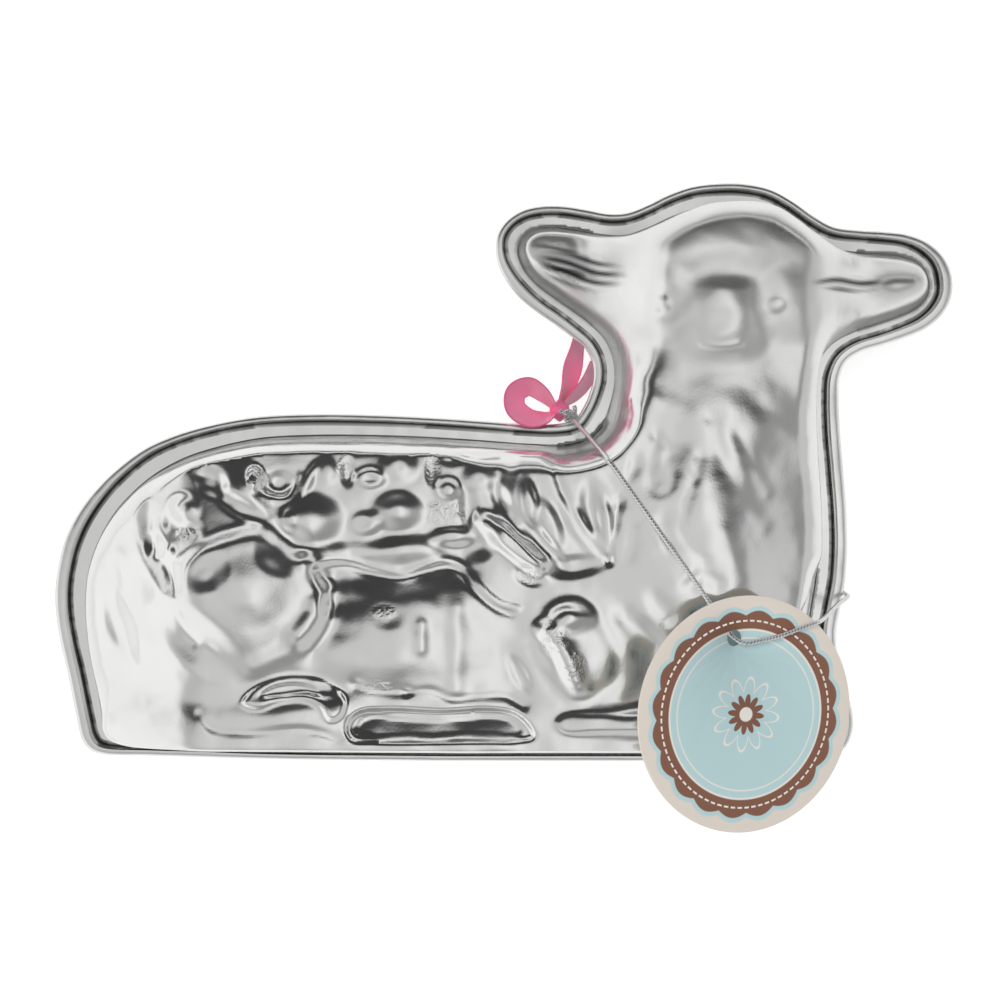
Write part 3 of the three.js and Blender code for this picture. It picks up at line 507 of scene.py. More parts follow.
def spine_share(x, y):
    from_end = smooth(x_at(SPINE_END_SHARES[0]), x_at(SPINE_END_SHARES[1]), x)
    to_neck = 1 - smooth(x_at(SPINE_NECK_SHARES[0]), x_at(SPINE_NECK_SHARES[1]), x)
    return from_end * to_neck * smooth(y_at(SPINE_LOW_SHARES[0]), y_at(SPINE_LOW_SHARES[1]), y)


def wall_curve(x, y, depth, shoulders, upright):
    """The wall's curve from the flange, 0, to the top, 1, with a small fillet at its foot. An upright wall
    climbs most of its height at once and rounds off into the top."""
    body_shoulder, ear_shoulder, spine_shoulder = shoulders
    body = mix(body_shoulder, spine_shoulder, spine_share(x, y))
    shoulder = mix(mix(body, ear_shoulder, ear_share(x, y)), BASE_SHOULDER, base_share(y))
    eased = np.where(abs(depth) < FOOT_FILLET, (depth + FOOT_FILLET) ** 2 / (4 * FOOT_FILLET), depth)
    eased = np.where(depth <= -FOOT_FILLET, 0, eased)
    t = np.clip(eased / shoulder, 0, 1)
    leant = 1 - (1 - t) ** WALL_FULLNESS
    steep = 1 - (1 - np.clip(t / UPRIGHT_SHARES[0], 0, 1)) ** WALL_FULLNESS
    return mix(leant, mix(1 - (1 - t) ** 2, steep, UPRIGHT_SHARES[1]), upright)


def back_height(places):
    x, y = places.T
    depth = depth_inside(places)
    breast = smooth(x_at(BACK_BREAST_EDGE_SHARES[0]), x_at(BACK_BREAST_EDGE_SHARES[1]), x)
    rise = mix(BACK_BODY_SHARE, BACK_BREAST_SHARE, breast)
    rise = mix(rise, BACK_HEAD_SHARE, smooth(y_at(NECK_SHARES[0]), y_at(NECK_SHARES[1]), y))
    rise = mix(rise, BACK_EAR_SHARE, ear_share(x, y))
    for row in BACK_FORM_SHARES:
        rise = rise + rounded_form(x, y, row)
    return np.minimum(rise, 1) * (BACK_DEPTH - SHEET) * wall_curve(x, y, depth, BACK_SHOULDERS, 0)


def rim_ring(band_share, plus):
    """The rim's outline moved in by a share of the lip's width and a plain distance."""
    inward = rim_band * LIP_BAND * band_share + plus
    return rim + rim_in * inward[:, None]


def plan_within(edge, grid):
    """Plan of a pressed half inside a closed edge: the edge, rings along the foot and a staggered field."""
    found = [tuple(p) for p in edge]
    edge_tree = tree_of([(x, y, 0) for x, y in edge])
    for step in RING_DEPTHS:
        ring = foot + foot_in * step
        kept = abs(depth_inside(ring) - step) < RING_MISS
        last = None
        for (x, y), good in zip(ring, kept):
            crowded = last is not None and math.hypot(x - last[0], y - last[1]) < RING_CROWDING
            if good and not crowded and edge_tree.find((x, y, 0))[2] > GRID_CLEAR:
                found.append((x, y))
                last = (x, y)
    low = edge.min(axis=0)
    high = edge.max(axis=0)
    rows = np.arange(low[1], high[1], grid * math.sqrt(3) / 2)
    columns = np.arange(low[0], high[0], grid)
    field = np.array([(x + (k % 2) * grid / 2, y) for k, y in enumerate(rows) for x in columns])
    depth = depth_inside(field)
    band = (depth < RING_DEPTHS[0] - GRID_CLEAR) | (depth > RING_DEPTHS[-1] + GRID_CLEAR)
    field = field[band]
    near = np.array([edge_tree.find((x, y, 0))[1:] for x, y in field])
    inner = np.roll(edge, -1, axis=0) - np.roll(edge, 1, axis=0)
    inner = np.stack([inner[:, 1], -inner[:, 0]], axis=1)
    nearest = near[:, 0].astype(int)
    inside = ((field - edge[nearest]) * inner[nearest]).sum(axis=1) > 0
    found.extend(tuple(p) for p in field[inside & (near[:, 1] > grid * GRID_CLEAR)])
    count = len(edge)
    sides = [(i, (i + 1) % count) for i in range(count)]
    spots, _, faces, _, _, _ = delaunay_2d_cdt([Vector(p) for p in found], sides, [], 1, PLAN_WELD)
    return np.array([(p.x, p.y) for p in spots]), [tuple(f) for f in faces]


def facing_up(places, triangle):
    """The triangle's corners in the order that turns it up."""
    a, b, c = triangle
    area = (places[b][0] - places[a][0]) * (places[c][1] - places[a][1])
    area -= (places[c][0] - places[a][0]) * (places[b][1] - places[a][1])
    return (a, b, c) if area > 0 else (a, c, b)


def slope_of(height_at, places):
    step = SLOPE_STEP
    right = height_at(places + (step, 0))
    left = height_at(places - (step, 0))
    far = height_at(places + (0, step))
    near = height_at(places - (0, step))
    return (right - left) / (2 * step), (far - near) / (2 * step)


def pressed_half(name, height_at, up, outer_face, inner_face, outer_edge, inner_edge, rings, grid):
    """One pressed half: a fine outer skin, a coarser inner skin and the rings round its rim."""
    vertices = []
    faces = []

    def skin(edge, spacing, level, is_inner):
        places, triangles = plan_within(edge, spacing)
        height = height_at(places)
        rows = np.column_stack([places, level + up * height])
        if is_inner:
            slope_x, slope_y = slope_of(height_at, places)
            scale = SHEET / np.sqrt(slope_x ** 2 + slope_y ** 2 + 1)
            rows = np.column_stack([
                places[:, 0] + slope_x * scale, places[:, 1] + slope_y * scale,
                outer_face + up * (height - scale),
            ])
            rows[:len(edge)] = np.column_stack([edge, np.full(len(edge), inner_face)])
        first = len(vertices)
        vertices.extend(map(tuple, rows))
        faces_up = (up > 0) != is_inner
        for triangle in triangles:
            a, b, c = facing_up(places, triangle)
            faces.append(tuple(first + corner for corner in ((a, b, c) if faces_up else (a, c, b))))
        return list(range(first, first + len(edge)))

    outer = skin(outer_edge, grid, outer_face, False)
    inner = skin(inner_edge, INNER_GRID, inner_face, True)
    chain = [outer]
    for ring, level in rings:
        first = len(vertices)
        vertices.extend((x, y, level) for x, y in ring)
        chain.append(list(range(first, first + len(ring))))
    chain.append(inner)
    for one, other in zip(chain, chain[1:]):
        count = len(one)
        for i in range(count):
            j = (i + 1) % count
            quad = (one[i], one[j], other[j], other[i])
            faces.append(quad if up > 0 else quad[::-1])
    return add_object(name, vertices, faces)


# Bright-rolled aluminium: pressed and polished sheet, a soft mirror with faint grain and light hazing
ALUMINIUM = "#f3f3f1"
ALUMINIUM_HAZE = "#e6e7e6"
GRAIN_WIDTH = 0.9
GRAIN_DEPTH = 0.018
PEEL_SIZE = 9
PEEL_DEPTH = 0.3
CREASE_SIZE = 2.2
CREASE_DEPTH = 0.32
HAZE_SIZE = 22
HEAD_DULL = (60, 82)
WEAR_HAZE = (0.3, 0.7)
WEAR_SHARES = (0.8, 1.3)
BACK_ROUGHNESS = (0.2, 0.24)
# Painted shade in the fold at the back half's lip
FOLD_PAINTED_SHADE = "#141414"
# Painted dark reflections on the ears
EAR_STREAK_PAINTED_SHADE = "#2e2e2e"


def bright_aluminium(name, roughness, head_roughness):
    material, tree = new_material(name)
    place = node(tree, "ShaderNodeTexCoord")
    noises = {}
    for which, size, detail, distortion in (
        ("haze", HAZE_SIZE, 3, 0), ("grain", GRAIN_WIDTH, 2, 0), ("peel", PEEL_SIZE, 1, 0),
        ("crease", CREASE_SIZE, 2, 1),
    ):
        noise = node(tree, "ShaderNodeTexNoise", Vector=place.outputs["Object"], Scale=1 / (size * MM),
                     Detail=detail, Distortion=distortion)
        noises[which] = noise.outputs[0]
    split = node(tree, "ShaderNodeSeparateXYZ", Vector=place.outputs["Object"])
    dull = node(tree, "ShaderNodeMapRange", in0=split.outputs["Y"], in1=HEAD_DULL[0] * MM,
                in2=HEAD_DULL[1] * MM, in3=roughness, in4=head_roughness)
    wear = node(tree, "ShaderNodeMapRange", in0=noises["haze"], in1=WEAR_HAZE[0], in2=WEAR_HAZE[1],
                in3=WEAR_SHARES[0], in4=WEAR_SHARES[1])
    rough = node(tree, "ShaderNodeMath", {"operation": "MULTIPLY"}, in0=dull.outputs[0], in1=wear.outputs[0])
    tint = node(tree, "ShaderNodeMix", {"data_type": "RGBA"}, in0=noises["haze"], in6=colour(ALUMINIUM),
                in7=colour(ALUMINIUM_HAZE))
    # Painted shade from attributes: near black in the fold at the back half's lip, and streaked dark
    # reflections on the front half's ears
    for attribute, shade in (("fold", FOLD_PAINTED_SHADE), ("ear_painted_streak", EAR_STREAK_PAINTED_SHADE)):
        mark = node(tree, "ShaderNodeAttribute", {"attribute_name": attribute})
        tint = node(tree, "ShaderNodeMix", {"data_type": "RGBA"}, in0=mark.outputs["Fac"],
                    in6=tint.outputs[2], in7=colour(shade))
    crinkle = node(tree, "ShaderNodeAttribute", {"attribute_name": "crinkle"})
    creased = node(tree, "ShaderNodeMath", {"operation": "MULTIPLY"}, in0=noises["crease"],
                   in1=crinkle.outputs["Fac"])
    peeled = node(tree, "ShaderNodeMath", {"operation": "MULTIPLY_ADD"}, in0=creased.outputs[0],
                  in1=CREASE_DEPTH / PEEL_DEPTH, in2=noises["peel"])
    uneven = node(tree, "ShaderNodeBump", Distance=PEEL_DEPTH * MM, Height=peeled.outputs[0])
    bump = node(tree, "ShaderNodeBump", Distance=GRAIN_DEPTH * MM, Height=noises["grain"],
                Normal=uneven.outputs[0])
    shader = node(tree, "ShaderNodeBsdfPrincipled", Base_Color=tint.outputs[2], Metallic=1.0,
                  Roughness=rough.outputs[0], Normal=bump.outputs[0])
    node(tree, "ShaderNodeOutputMaterial", Surface=shader.outputs[0])
    return material


lip_top = PARTING + LIP_HEIGHT
back_rings = [
    (rim_ring(1, -SHEET), lip_top - BEAD_DROP - BEAD_THICKNESS),
    (rim_ring(0, 0), lip_top - BEAD_DROP - BEAD_THICKNESS),
    (rim_ring(0, 0), lip_top - BEAD_DROP),
    (rim_ring(BEAD_CREST_SHARES[0] / 2, 0), lip_top - BEAD_DROP / 4),
    (rim_ring(BEAD_CREST_SHARES[0], 0), lip_top),
    (rim_ring(BEAD_CREST_SHARES[1], 0), lip_top),
    (rim_ring(1, 0), lip_top - BEAD_DROP),
]
back_half = pressed_half(
    "back_half_pressed", back_height, -1, PARTING - SHEET, PARTING, rim_ring(1, -SHEET),
    rim_ring(1, LIP_SLOPE), back_rings, PLAIN_GRID,
)
back_half.data.materials.append(bright_aluminium("bright_aluminium_back", *BACK_ROUGHNESS))
# The fold at the lip's foot sees no light, so painted shade darkens it near black; its share is kept in an
# attribute
fold_tree = tree_of([(x * MM, y * MM, PARTING * MM) for x, y in rim_ring(1, LIP_SLOPE)])
fold_painted_shade = back_half.data.attributes.new("fold", "FLOAT", "POINT")
fold_painted_shade.data.foreach_set("value", [
    float(fold_tree.find(vertex.co)[2] < FOLD_REACH * MM) for vertex in back_half.data.vertices
])
back_half.data.set_sharp_from_angle(angle=math.radians(SHEET_SHARP))
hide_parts("back_half")
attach(back_half, "back")


# Front half: the same sheet, drawn to the near side of the lamb with its fleece, legs and face. Its flat
# flange drops inside the back half's lip and leaves a narrow dark gap all round.
FRONT_RISE = 50
SEAT_GAP = 0.3
NEST_GAP = 1.4
FRONT_SHOULDERS = (10, 7, 6)
CORD_WALLS = [(29, 51), (104, -1)]
CORD_WALL_REACH = (9, 18)
CORD_FRONT_ROWS = 16
CORD_CLEAR = (3, 7)
FRONT_ROUGHNESS = (0.16, 0.3)
RUMP_SHARES = (0.03, 0.19)
BREAST_SHARES = (0.86, 0.73)
RUMP_RISE_SHARE = 0.56
BREAST_RISE_SHARE = 0.8
HEAD_RISE_SHARE = 0.94
NECK_BLEND_SHARES = (0.5, 0.72)
EAR_RISE_SHARE = 0.27
BASE_RISE_SHARE = 1.06
FRONT_FORM_SHARES = [
    (0.215, 0.3, 0.1, 0.09, 0, 0.12), (0.2365, 0.304, 0.03, 0.03, 0, 0.02),
    (0.299, 0.421, 0.0285, 0.0225, 0, 0.046), (0.389, 0.433, 0.0235, 0.0175, 0, 0.043),
    (0.227, 0.473, 0.021, 0.031, 30, 0.036), (0.272, 0.374, 0.025, 0.0235, -20, -0.038),
    (0.178, 0.225, 0.047, 0.0225, -38, -0.05), (0.568, 0.264, 0.025, 0.0175, 0, 0.034),
    (0.402, 0.225, 0.1, 0.063, 0, 0.06), (0.5746, 0.212, 0.06, 0.06, -10, 0.06),
    (0.695, 0.355, 0.085, 0.095, 0, 0.075), (0.742, 0.566, 0.07, 0.075, 0, 0.03),
    (0.729, 0.858, 0.09, 0.058, 0, 0.1), (0.737, 0.737, 0.05, 0.048, 0, 0.03),
    (0.666, 0.77, 0.03, 0.034, 0, 0.05), (0.8, 0.77, 0.03, 0.034, 0, 0.05),
    (0.287, 0.107, 0.066, 0.018, 4, 0.03), (0.675, 0.091, 0.1, 0.018, 0, 0.035),
    (0.562, 0.835, 0.052, 0.022, -17, 0.1), (0.92, 0.815, 0.05, 0.022, 6, 0.1),
]
# Folds and creases: half width as a share of length, rise and the line's places
FRONT_FOLD_SHARES = [
    (0.0115, 0.037, [(0.4815, 0.413), (0.5025, 0.3855), (0.536, 0.345)]),
    (0.019, -0.044, [(0.31, 0.335), (0.339, 0.3415), (0.386, 0.3285), (0.423, 0.335), (0.456, 0.348)]),
    (0.0135, 0.032, [(0.5515, 0.234), (0.565, 0.1985), (0.578, 0.15)]),
    (0.0115, 0.03, [(0.293, 0.3515), (0.3075, 0.3025), (0.3045, 0.267), (0.2865, 0.234)]),
    (0.0145, -0.026, [(0.318, 0.322), (0.3245, 0.28), (0.318, 0.241), (0.3015, 0.208)]),
    (0.027, 0.02, [(0.7055, 0.4685), (0.721, 0.4035), (0.7495, 0.322)]),
]

# The back of the lamb rolls off towards its spine, but not at the neck
ROLL_SHARES = (0.44, 0.56)
ROLL_DROP = 2
ROLL_END_SHARES = (0.53, 0.6)

# The relief is placed by pixels of the photograph, in which the relief's own scale is a little larger
# than the parting plane's. A rise is a share of the form's narrower half width, so it sets the slopes.
# Pads have a soft level top or floor: middle, half sizes, turn and rise.
RELIEF_SCALE = 0.306
RELIEF_STEPS = 4
RELIEF_MIDDLE_PX = (500, 500)
PAD_EDGE = (0.3, 1.5)
FLEECE_PADS_PX = [
    (183, 508, 14, 13, 0, 0.42), (172, 524, 10, 12, 0, -0.3), (190, 531, 13, 8, 15, -0.3),
    (212, 483, 14, 12, -30, -0.3), (240, 507, 22, 9, -30, -0.45), (254, 478, 8, 11, 0, 0.5),
    (278, 484, 15, 12, 10, -0.42), (308, 480, 5, 18, -25, 0.55), (326, 470, 10, 12, 0, 0.25),
    (347, 473, 6, 12, 0, -0.45), (370, 478, 14, 9, 0, 0.5), (370, 479, 8, 5, 0, -0.6),
    (399, 466, 16, 14, 0, 0.25), (432, 470, 6, 14, 0, -0.45), (448, 489, 11, 10, 0, 0.5),
    (289, 520, 7, 12, 0, 0.25), (366, 523, 14, 11, 0, 0.3), (362, 524, 7, 6, 0, -0.25),
    (452, 537, 19, 9, 0, 0.5), (468, 508, 8, 16, 0, -0.38), (479, 478, 14, 12, 0, 0.25),
    (510, 542, 36, 10, -42, 0.5), (511, 543, 24, 4, -42, -0.4), (505, 506, 8, 22, 30, -0.38),
    (529, 502, 8, 20, 10, 0.52), (550, 524, 9, 22, 22, 0.36), (544, 545, 8, 26, 42, -0.38),
    (578, 525, 8, 26, 32, 0.34), (592, 505, 10, 22, 10, -0.26), (604, 518, 7, 28, 16, 0.3),
    (575, 566, 30, 10, 6, -0.3), (530, 576, 13, 9, -20, -0.34), (199, 470, 10, 9, -30, -0.25),
    (152, 546, 8, 11, 0, -0.3), (166, 552, 7, 8, 0, 0.34), (172, 572, 7, 18, 25, -0.3),
]
# Lines are soft ridges or creases: half width, rise and places
FLEECE_LINES_PX = [
    (4, 0.3, [(266, 495), (284, 499), (294, 489), (300, 476)]),
    (3, 0.4, [
        (313, 563), (335, 559), (352, 561), (372, 567), (403, 572), (425, 565), (445, 560), (462, 565),
        (475, 580), (497, 601), (518, 608),
    ]),
    (3, -0.35, [
        (316, 570), (335, 566), (352, 568), (372, 574), (403, 579), (425, 572), (445, 567), (460, 573),
        (472, 588), (495, 608), (512, 615),
    ]),
    (4, -0.34, [(355, 452), (400, 446), (439, 450), (441, 458), (452, 461), (480, 455), (515, 455)]),
    (4, -0.38, [(555, 470), (566, 500), (582, 532), (608, 560)]),
    (4, -0.38, [(620, 500), (614, 530), (609, 562)]),
]
NECK_LINES_PX = [
    (6, -0.12, [(655, 437), (652, 458), (650, 480), (656, 493), (668, 491), (673, 475), (668, 458)]),
    (6, -0.12, [(657, 437), (672, 452), (684, 472), (692, 480)]),
    (7, -0.14, [(700, 458), (694, 478), (686, 500), (684, 514), (680, 528), (690, 546), (702, 560)]),
    (9, -0.18, [(634, 465), (626, 480), (616, 500)]), (8, -0.15, [(632, 525), (630, 545), (628, 555)]),
    (9, -0.12, [(664, 520), (668, 545)]), (9, -0.1, [(712, 420), (722, 460), (738, 492), (764, 525)]),
    (7, -0.12, [(738, 435), (752, 465), (767, 492)]), (9, -0.21, [(690, 585), (702, 575), (715, 583)]),
    (14, -0.21, [(626, 618), (640, 632), (655, 645)]), (12, -0.21, [(655, 602), (668, 616)]),
    (12, 0.18, [(645, 612), (662, 630), (675, 645)]),
    (14, 0.12, [(652, 400), (634, 437), (618, 462), (616, 482)]),
]
LIMB_PADS_PX = [
    (208, 572, 20, 15, 35, -0.22), (114, 630, 32, 12, -68, -0.2), (212, 650, 9, 5, -36, -0.1),
    (355, 592, 40, 22, 0, -0.15), (330, 606, 9, 12, 0, -0.25), (386, 615, 16, 11, 0, -0.12),
    (370, 655, 70, 24, 0, 0.1), (567, 616, 13, 9, -10, 0.2), (541, 628, 9, 9, 0, 0.25),
    (568, 664, 9, 22, 20, 0.2), (548, 652, 8, 18, 25, -0.2), (326, 690, 12, 8, 0, -0.2),
    (520, 674, 7, 18, 28, -0.3),
]
LIMB_LINES_PX = [
    (10, 0.15, [(113, 560), (120, 593), (130, 626), (138, 658), (156, 680), (171, 675)]),
    (5, -0.3, [(178, 614), (186, 630), (196, 642)]), (9, 0.18, [(457, 608), (457, 686)]),
    (10, 0.2, [(312, 632), (290, 650), (254, 668)]), (6, 0.3, [(422, 624), (422, 648)]),
    (6, -0.35, [(357, 684), (382, 690), (407, 692)]),
    (4, -0.35, [(407, 692), (432, 690), (452, 698), (480, 696), (506, 696), (524, 706)]),
    (8, -0.14, [
        (535, 640), (541, 620), (556, 603), (576, 601), (596, 612), (608, 634), (616, 655), (614, 678),
        (598, 694), (576, 699), (556, 690), (543, 672), (535, 652),
    ]),
    (4, -0.3, [(200, 714), (214, 728), (250, 732), (300, 728), (318, 731), (340, 738)]),
    (14, -0.16, [(520, 745), (600, 742), (700, 740)]),
]
HEAD_PADS_PX = [
    (663, 304, 20, 18, 0, -0.2), (663, 304, 8, 8, 0, 0.4), (776, 305, 8, 7, 0, 0.2),
    (722, 320, 40, 36, 0, 0.29), (726, 268, 44, 16, 0, -0.12),
]
HEAD_LINES_PX = [
    (3, 0.35, [(702, 344), (720, 347), (740, 344)]), (20, 0.12, [(630, 275), (655, 262), (690, 248)]),
]
WANDER_BEND = 6
WANDER_RISE = 0.13
WANDER_TURNS = (0.11, 0.07, 0.33, 0.29)
# Steps have a level top or floor inside an outline: half width of the edge, rise and tilt
STEPS_PX = [
    (11, -0.6, 0, [
        (176, 592), (184, 564), (204, 546), (235, 534), (262, 531), (282, 541), (301, 555), (330, 549),
        (370, 546), (405, 541), (430, 542), (446, 553), (472, 556), (488, 550), (498, 520), (505, 440),
        (160, 440), (140, 540),
    ]),
    (4, 1.1, 0.05, [
        (244, 702), (254, 689), (272, 680), (292, 676), (316, 678), (336, 687), (346, 701), (340, 716),
        (330, 718), (322, 706), (306, 699), (280, 701), (258, 707),
    ]),
    (3, -0.9, 0, [(262, 695), (274, 686), (292, 683), (310, 686), (320, 693), (306, 693), (282, 695)]),
    (4, -1.6, 0.12, [
        (348, 731), (351, 719), (362, 711), (390, 709), (440, 711), (490, 709), (514, 713), (528, 724),
        (533, 736), (516, 740), (470, 740), (420, 741), (374, 741), (354, 739),
    ]),
    (2, -0.9, 0.05, [
        (356, 729), (362, 719), (376, 715), (400, 718), (440, 719), (490, 716), (510, 719), (522, 729),
        (518, 734), (480, 734), (420, 735), (374, 735),
    ]),
    (4, 0.6, 0.05, [
        (556, 722), (564, 714), (600, 713), (650, 711), (704, 709), (704, 728), (650, 730), (600, 731),
        (564, 731),
    ]),
]


# Painted dark reflections in streaks across the ears: middle, half sizes and turn
EAR_PAINTED_STREAKS_PX = [(583, 260, 46, 20, -18), (858, 279, 44, 9, 5)]
EAR_STREAK_PITCH = 3.1
EAR_STREAK_BEND = 0.8
EAR_STREAK_EDGE = (0.3, 1.3)
EAR_STREAK_TONES = (0.55, 0.45)
# Fine creases that the press drew into the sheet: middle and half sizes
CRINKLES_PX = [
    (433, 468, 6, 14), (446, 512, 22, 13), (385, 612, 12, 6), (530, 575, 11, 8), (553, 640, 14, 16),
    (186, 534, 10, 6), (257, 478, 10, 12), (344, 468, 7, 11), (574, 668, 12, 16), (376, 686, 18, 5),
]
CRINKLE_EDGE = (0.3, 1.4)


def relief_x(px):
    return (px - RELIEF_MIDDLE_PX[0]) * RELIEF_SCALE


def relief_y(py):
    return VIEW_MIDDLE_Y - (py - RELIEF_MIDDLE_PX[1]) * RELIEF_SCALE


def pad(x, y, row):
    px, py, half_long, half_short, turn, rise = row
    reach = form_reach(x, y, relief_x(px), relief_y(py), half_long * RELIEF_SCALE,
                       half_short * RELIEF_SCALE, turn)
    height = rise * min(half_long, half_short) * RELIEF_SCALE
    return height * (1 - smooth(PAD_EDGE[0], PAD_EDGE[1], np.sqrt(reach)))


def relief_line(line, closed=False):
    """A smooth run of places through the photograph's pixels."""
    rows = [(relief_x(px), relief_y(py), 0) for px, py in line]
    return [(p.x, p.y) for p in curve_through(rows, RELIEF_STEPS, closed)]


def soft_line(x, y, row):
    half_width, rise, line = row
    away = line_distance(x, y, relief_line(line))
    wide = half_width * RELIEF_SCALE
    return rise * wide * np.exp(-(away / wide) ** 2)


def flat_step(x, y, row):
    half_edge, rise, tilt, outline = row
    line = relief_line(outline, True)
    line.append(line[0])
    away = line_distance(x, y, line)
    inside = np.zeros(len(x), dtype=bool)
    for (ax, ay), (bx, by) in zip(line, line[1:]):
        if ay == by:
            continue
        crosses = ((ay > y) != (by > y)) & (x < (bx - ax) * (y - ay) / (by - ay) + ax)
        inside ^= crosses
    edge = half_edge * RELIEF_SCALE
    share = smooth(-edge, edge, np.where(inside, away, -away))
    middle = sum(py for _, py in line) / len(line)
    return share * (rise * edge - tilt * (y - middle))


def wander(x, y):
    """A slight unevenness of the pressed sheet, which bends its reflections."""
    turned_x = x + WANDER_BEND * np.sin(y * WANDER_TURNS[0])
    turned_y = y + WANDER_BEND * np.sin(x * WANDER_TURNS[1])
    return WANDER_RISE * np.sin(turned_x * WANDER_TURNS[2]) * np.sin(turned_y * WANDER_TURNS[3])


def front_height(places):
    x, y = places.T
    depth = depth_inside(places)
    rise = mix(1, BASE_RISE_SHARE, base_share(y))
    rise = rise * mix(RUMP_RISE_SHARE, 1, smooth(x_at(RUMP_SHARES[0]), x_at(RUMP_SHARES[1]), x))
    to_breast = smooth(x_at(BREAST_SHARES[1]), x_at(BREAST_SHARES[0]), x)
    rise = rise * mix(1, BREAST_RISE_SHARE, to_breast)
    rise = mix(rise, HEAD_RISE_SHARE, smooth(y_at(NECK_BLEND_SHARES[0]), y_at(NECK_BLEND_SHARES[1]), y))
    rise = mix(rise, EAR_RISE_SHARE, ear_share(x, y))
    for row in FRONT_FORM_SHARES:
        rise = rise + rounded_form(x, y, row)
    for half_width, fold_rise, line in FRONT_FOLD_SHARES:
        away = line_distance(x, y, [(x_at(px), y_at(py)) for px, py in line])
        rise = rise + fold_rise * np.exp(-(away / (half_width * LENGTH)) ** 2)
    drop = ROLL_DROP * smooth(y_at(ROLL_SHARES[0]), y_at(ROLL_SHARES[1]), y)
    drop = drop * (1 - smooth(x_at(ROLL_END_SHARES[0]), x_at(ROLL_END_SHARES[1]), x))
    fine = wander(x, y) + sum(pad(x, y, row) for row in FLEECE_PADS_PX + LIMB_PADS_PX + HEAD_PADS_PX)
    lines = FLEECE_LINES_PX + NECK_LINES_PX + LIMB_LINES_PX + HEAD_LINES_PX
    fine = fine + sum(soft_line(x, y, row) for row in lines)
    fine = fine + sum(flat_step(x, y, row) for row in STEPS_PX)
    # Nothing stands up into the cord where it crosses the breast
    cord_line = [(px, py) for px, py, _ in CORD_ROUTE[:CORD_FRONT_ROWS]]
    beside_cord = smooth(CORD_CLEAR[0], CORD_CLEAR[1], line_distance(x, y, cord_line))
    fine = np.minimum(fine, 0) * (1 - beside_cord) + fine * beside_cord
    # The wall leans in more where the cord comes down over it
    upright = (1 - spine_share(x, y)) * (1 - base_share(y))
    for place_x, place_y in CORD_WALLS:
        upright = upright * smooth(CORD_WALL_REACH[0], CORD_WALL_REACH[1], np.hypot(x - place_x, y - place_y))
    return (rise * FRONT_RISE - drop + fine) * wall_curve(x, y, depth, FRONT_SHOULDERS, upright)


flange_edge = rim_ring(1, LIP_SLOPE + NEST_GAP)
flange_under = PARTING + SEAT_GAP
front_half = pressed_half(
    "front_half_pressed", front_height, 1, flange_under + SHEET, flange_under, flange_edge, flange_edge, [],
    FINE_GRID,
)
front_half.data.materials.append(bright_aluminium("bright_aluminium_front", *FRONT_ROUGHNESS))
front_x, front_y = np.array([vertex.co[:2] for vertex in front_half.data.vertices]).T / MM


def front_reach(px, py, half_long, half_short, turn):
    return form_reach(front_x, front_y, relief_x(px), relief_y(py), half_long * RELIEF_SCALE,
                      half_short * RELIEF_SCALE, turn)


crinkled = np.zeros(len(front_x))
for row in CRINKLES_PX:
    crinkled = np.maximum(crinkled, 1 - smooth(CRINKLE_EDGE[0], CRINKLE_EDGE[1], front_reach(*row, 0)))
# Painted dark reflections: streaks across the ears, kept in an attribute
ear_painted_streak = np.zeros(len(front_x))
for row in EAR_PAINTED_STREAKS_PX:
    turn = math.radians(row[4])
    dx = front_x - relief_x(row[0])
    dy = front_y - relief_y(row[1])
    along = dx * math.cos(turn) + dy * math.sin(turn)
    across = dy * math.cos(turn) - dx * math.sin(turn)
    bend = EAR_STREAK_BEND * np.sin(along / EAR_STREAK_PITCH)
    streak = EAR_STREAK_TONES[0] + EAR_STREAK_TONES[1] * np.sin(2 * math.pi * across / EAR_STREAK_PITCH + bend)
    edge = 1 - smooth(EAR_STREAK_EDGE[0], EAR_STREAK_EDGE[1], front_reach(*row))
    ear_painted_streak = np.maximum(ear_painted_streak, edge * streak)
for name, values in (("crinkle", crinkled), ("ear_painted_streak", ear_painted_streak)):
    front_half.data.attributes.new(name, "FLOAT", "POINT").data.foreach_set("value", values)
front_half.data.set_sharp_from_angle(angle=math.radians(SHEET_SHARP))
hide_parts("front_half")
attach(front_half, "front")


# Cord knot: both ends of the elastic are tied in one overhand knot at the lamb's neck and cut off short,
# so it rests on the lip as a small tight ball of the same silver cord.
KNOT_MIDDLE = (22.7, 59.9, 53.5)
KNOT_REACH = 1.2
KNOT_SWING = 0.62
KNOT_STEPS = 72
KNOT_CURVE_STEPS = 3
KNOT_TAILS = [
    [(-3.4, 1.6, 1.6), (-2.2, 0.9, 1.9), (-0.6, -0.2, 1.5)],
    [(1.2, 0.4, 1.2), (1.6, 1.8, 1.9), (1.2, 3.3, 2.1)],
]

# An overhand knot closes on itself after two turns and three crossings
knot_rows = []
for place in range(KNOT_STEPS):
    turn = 2 * math.pi * (place + 0.5) / KNOT_STEPS
    reach = KNOT_REACH + KNOT_SWING * math.cos(3 * turn)
    rise = KNOT_SWING * math.sin(3 * turn)
    knot_rows.append((reach * math.cos(2 * turn), reach * math.sin(2 * turn), rise))
knot_path = [Vector(KNOT_MIDDLE) + Vector(row) for row in KNOT_TAILS[0] + knot_rows + KNOT_TAILS[1]]
cord_knot = tube("cord_knot_tied", curve_through(knot_path, KNOT_CURVE_STEPS), CORD / 2, CORD_SIDES)
cord_knot.data.materials.append(cord.data.materials[0])
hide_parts("cord_knot")
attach(cord_knot, "back")


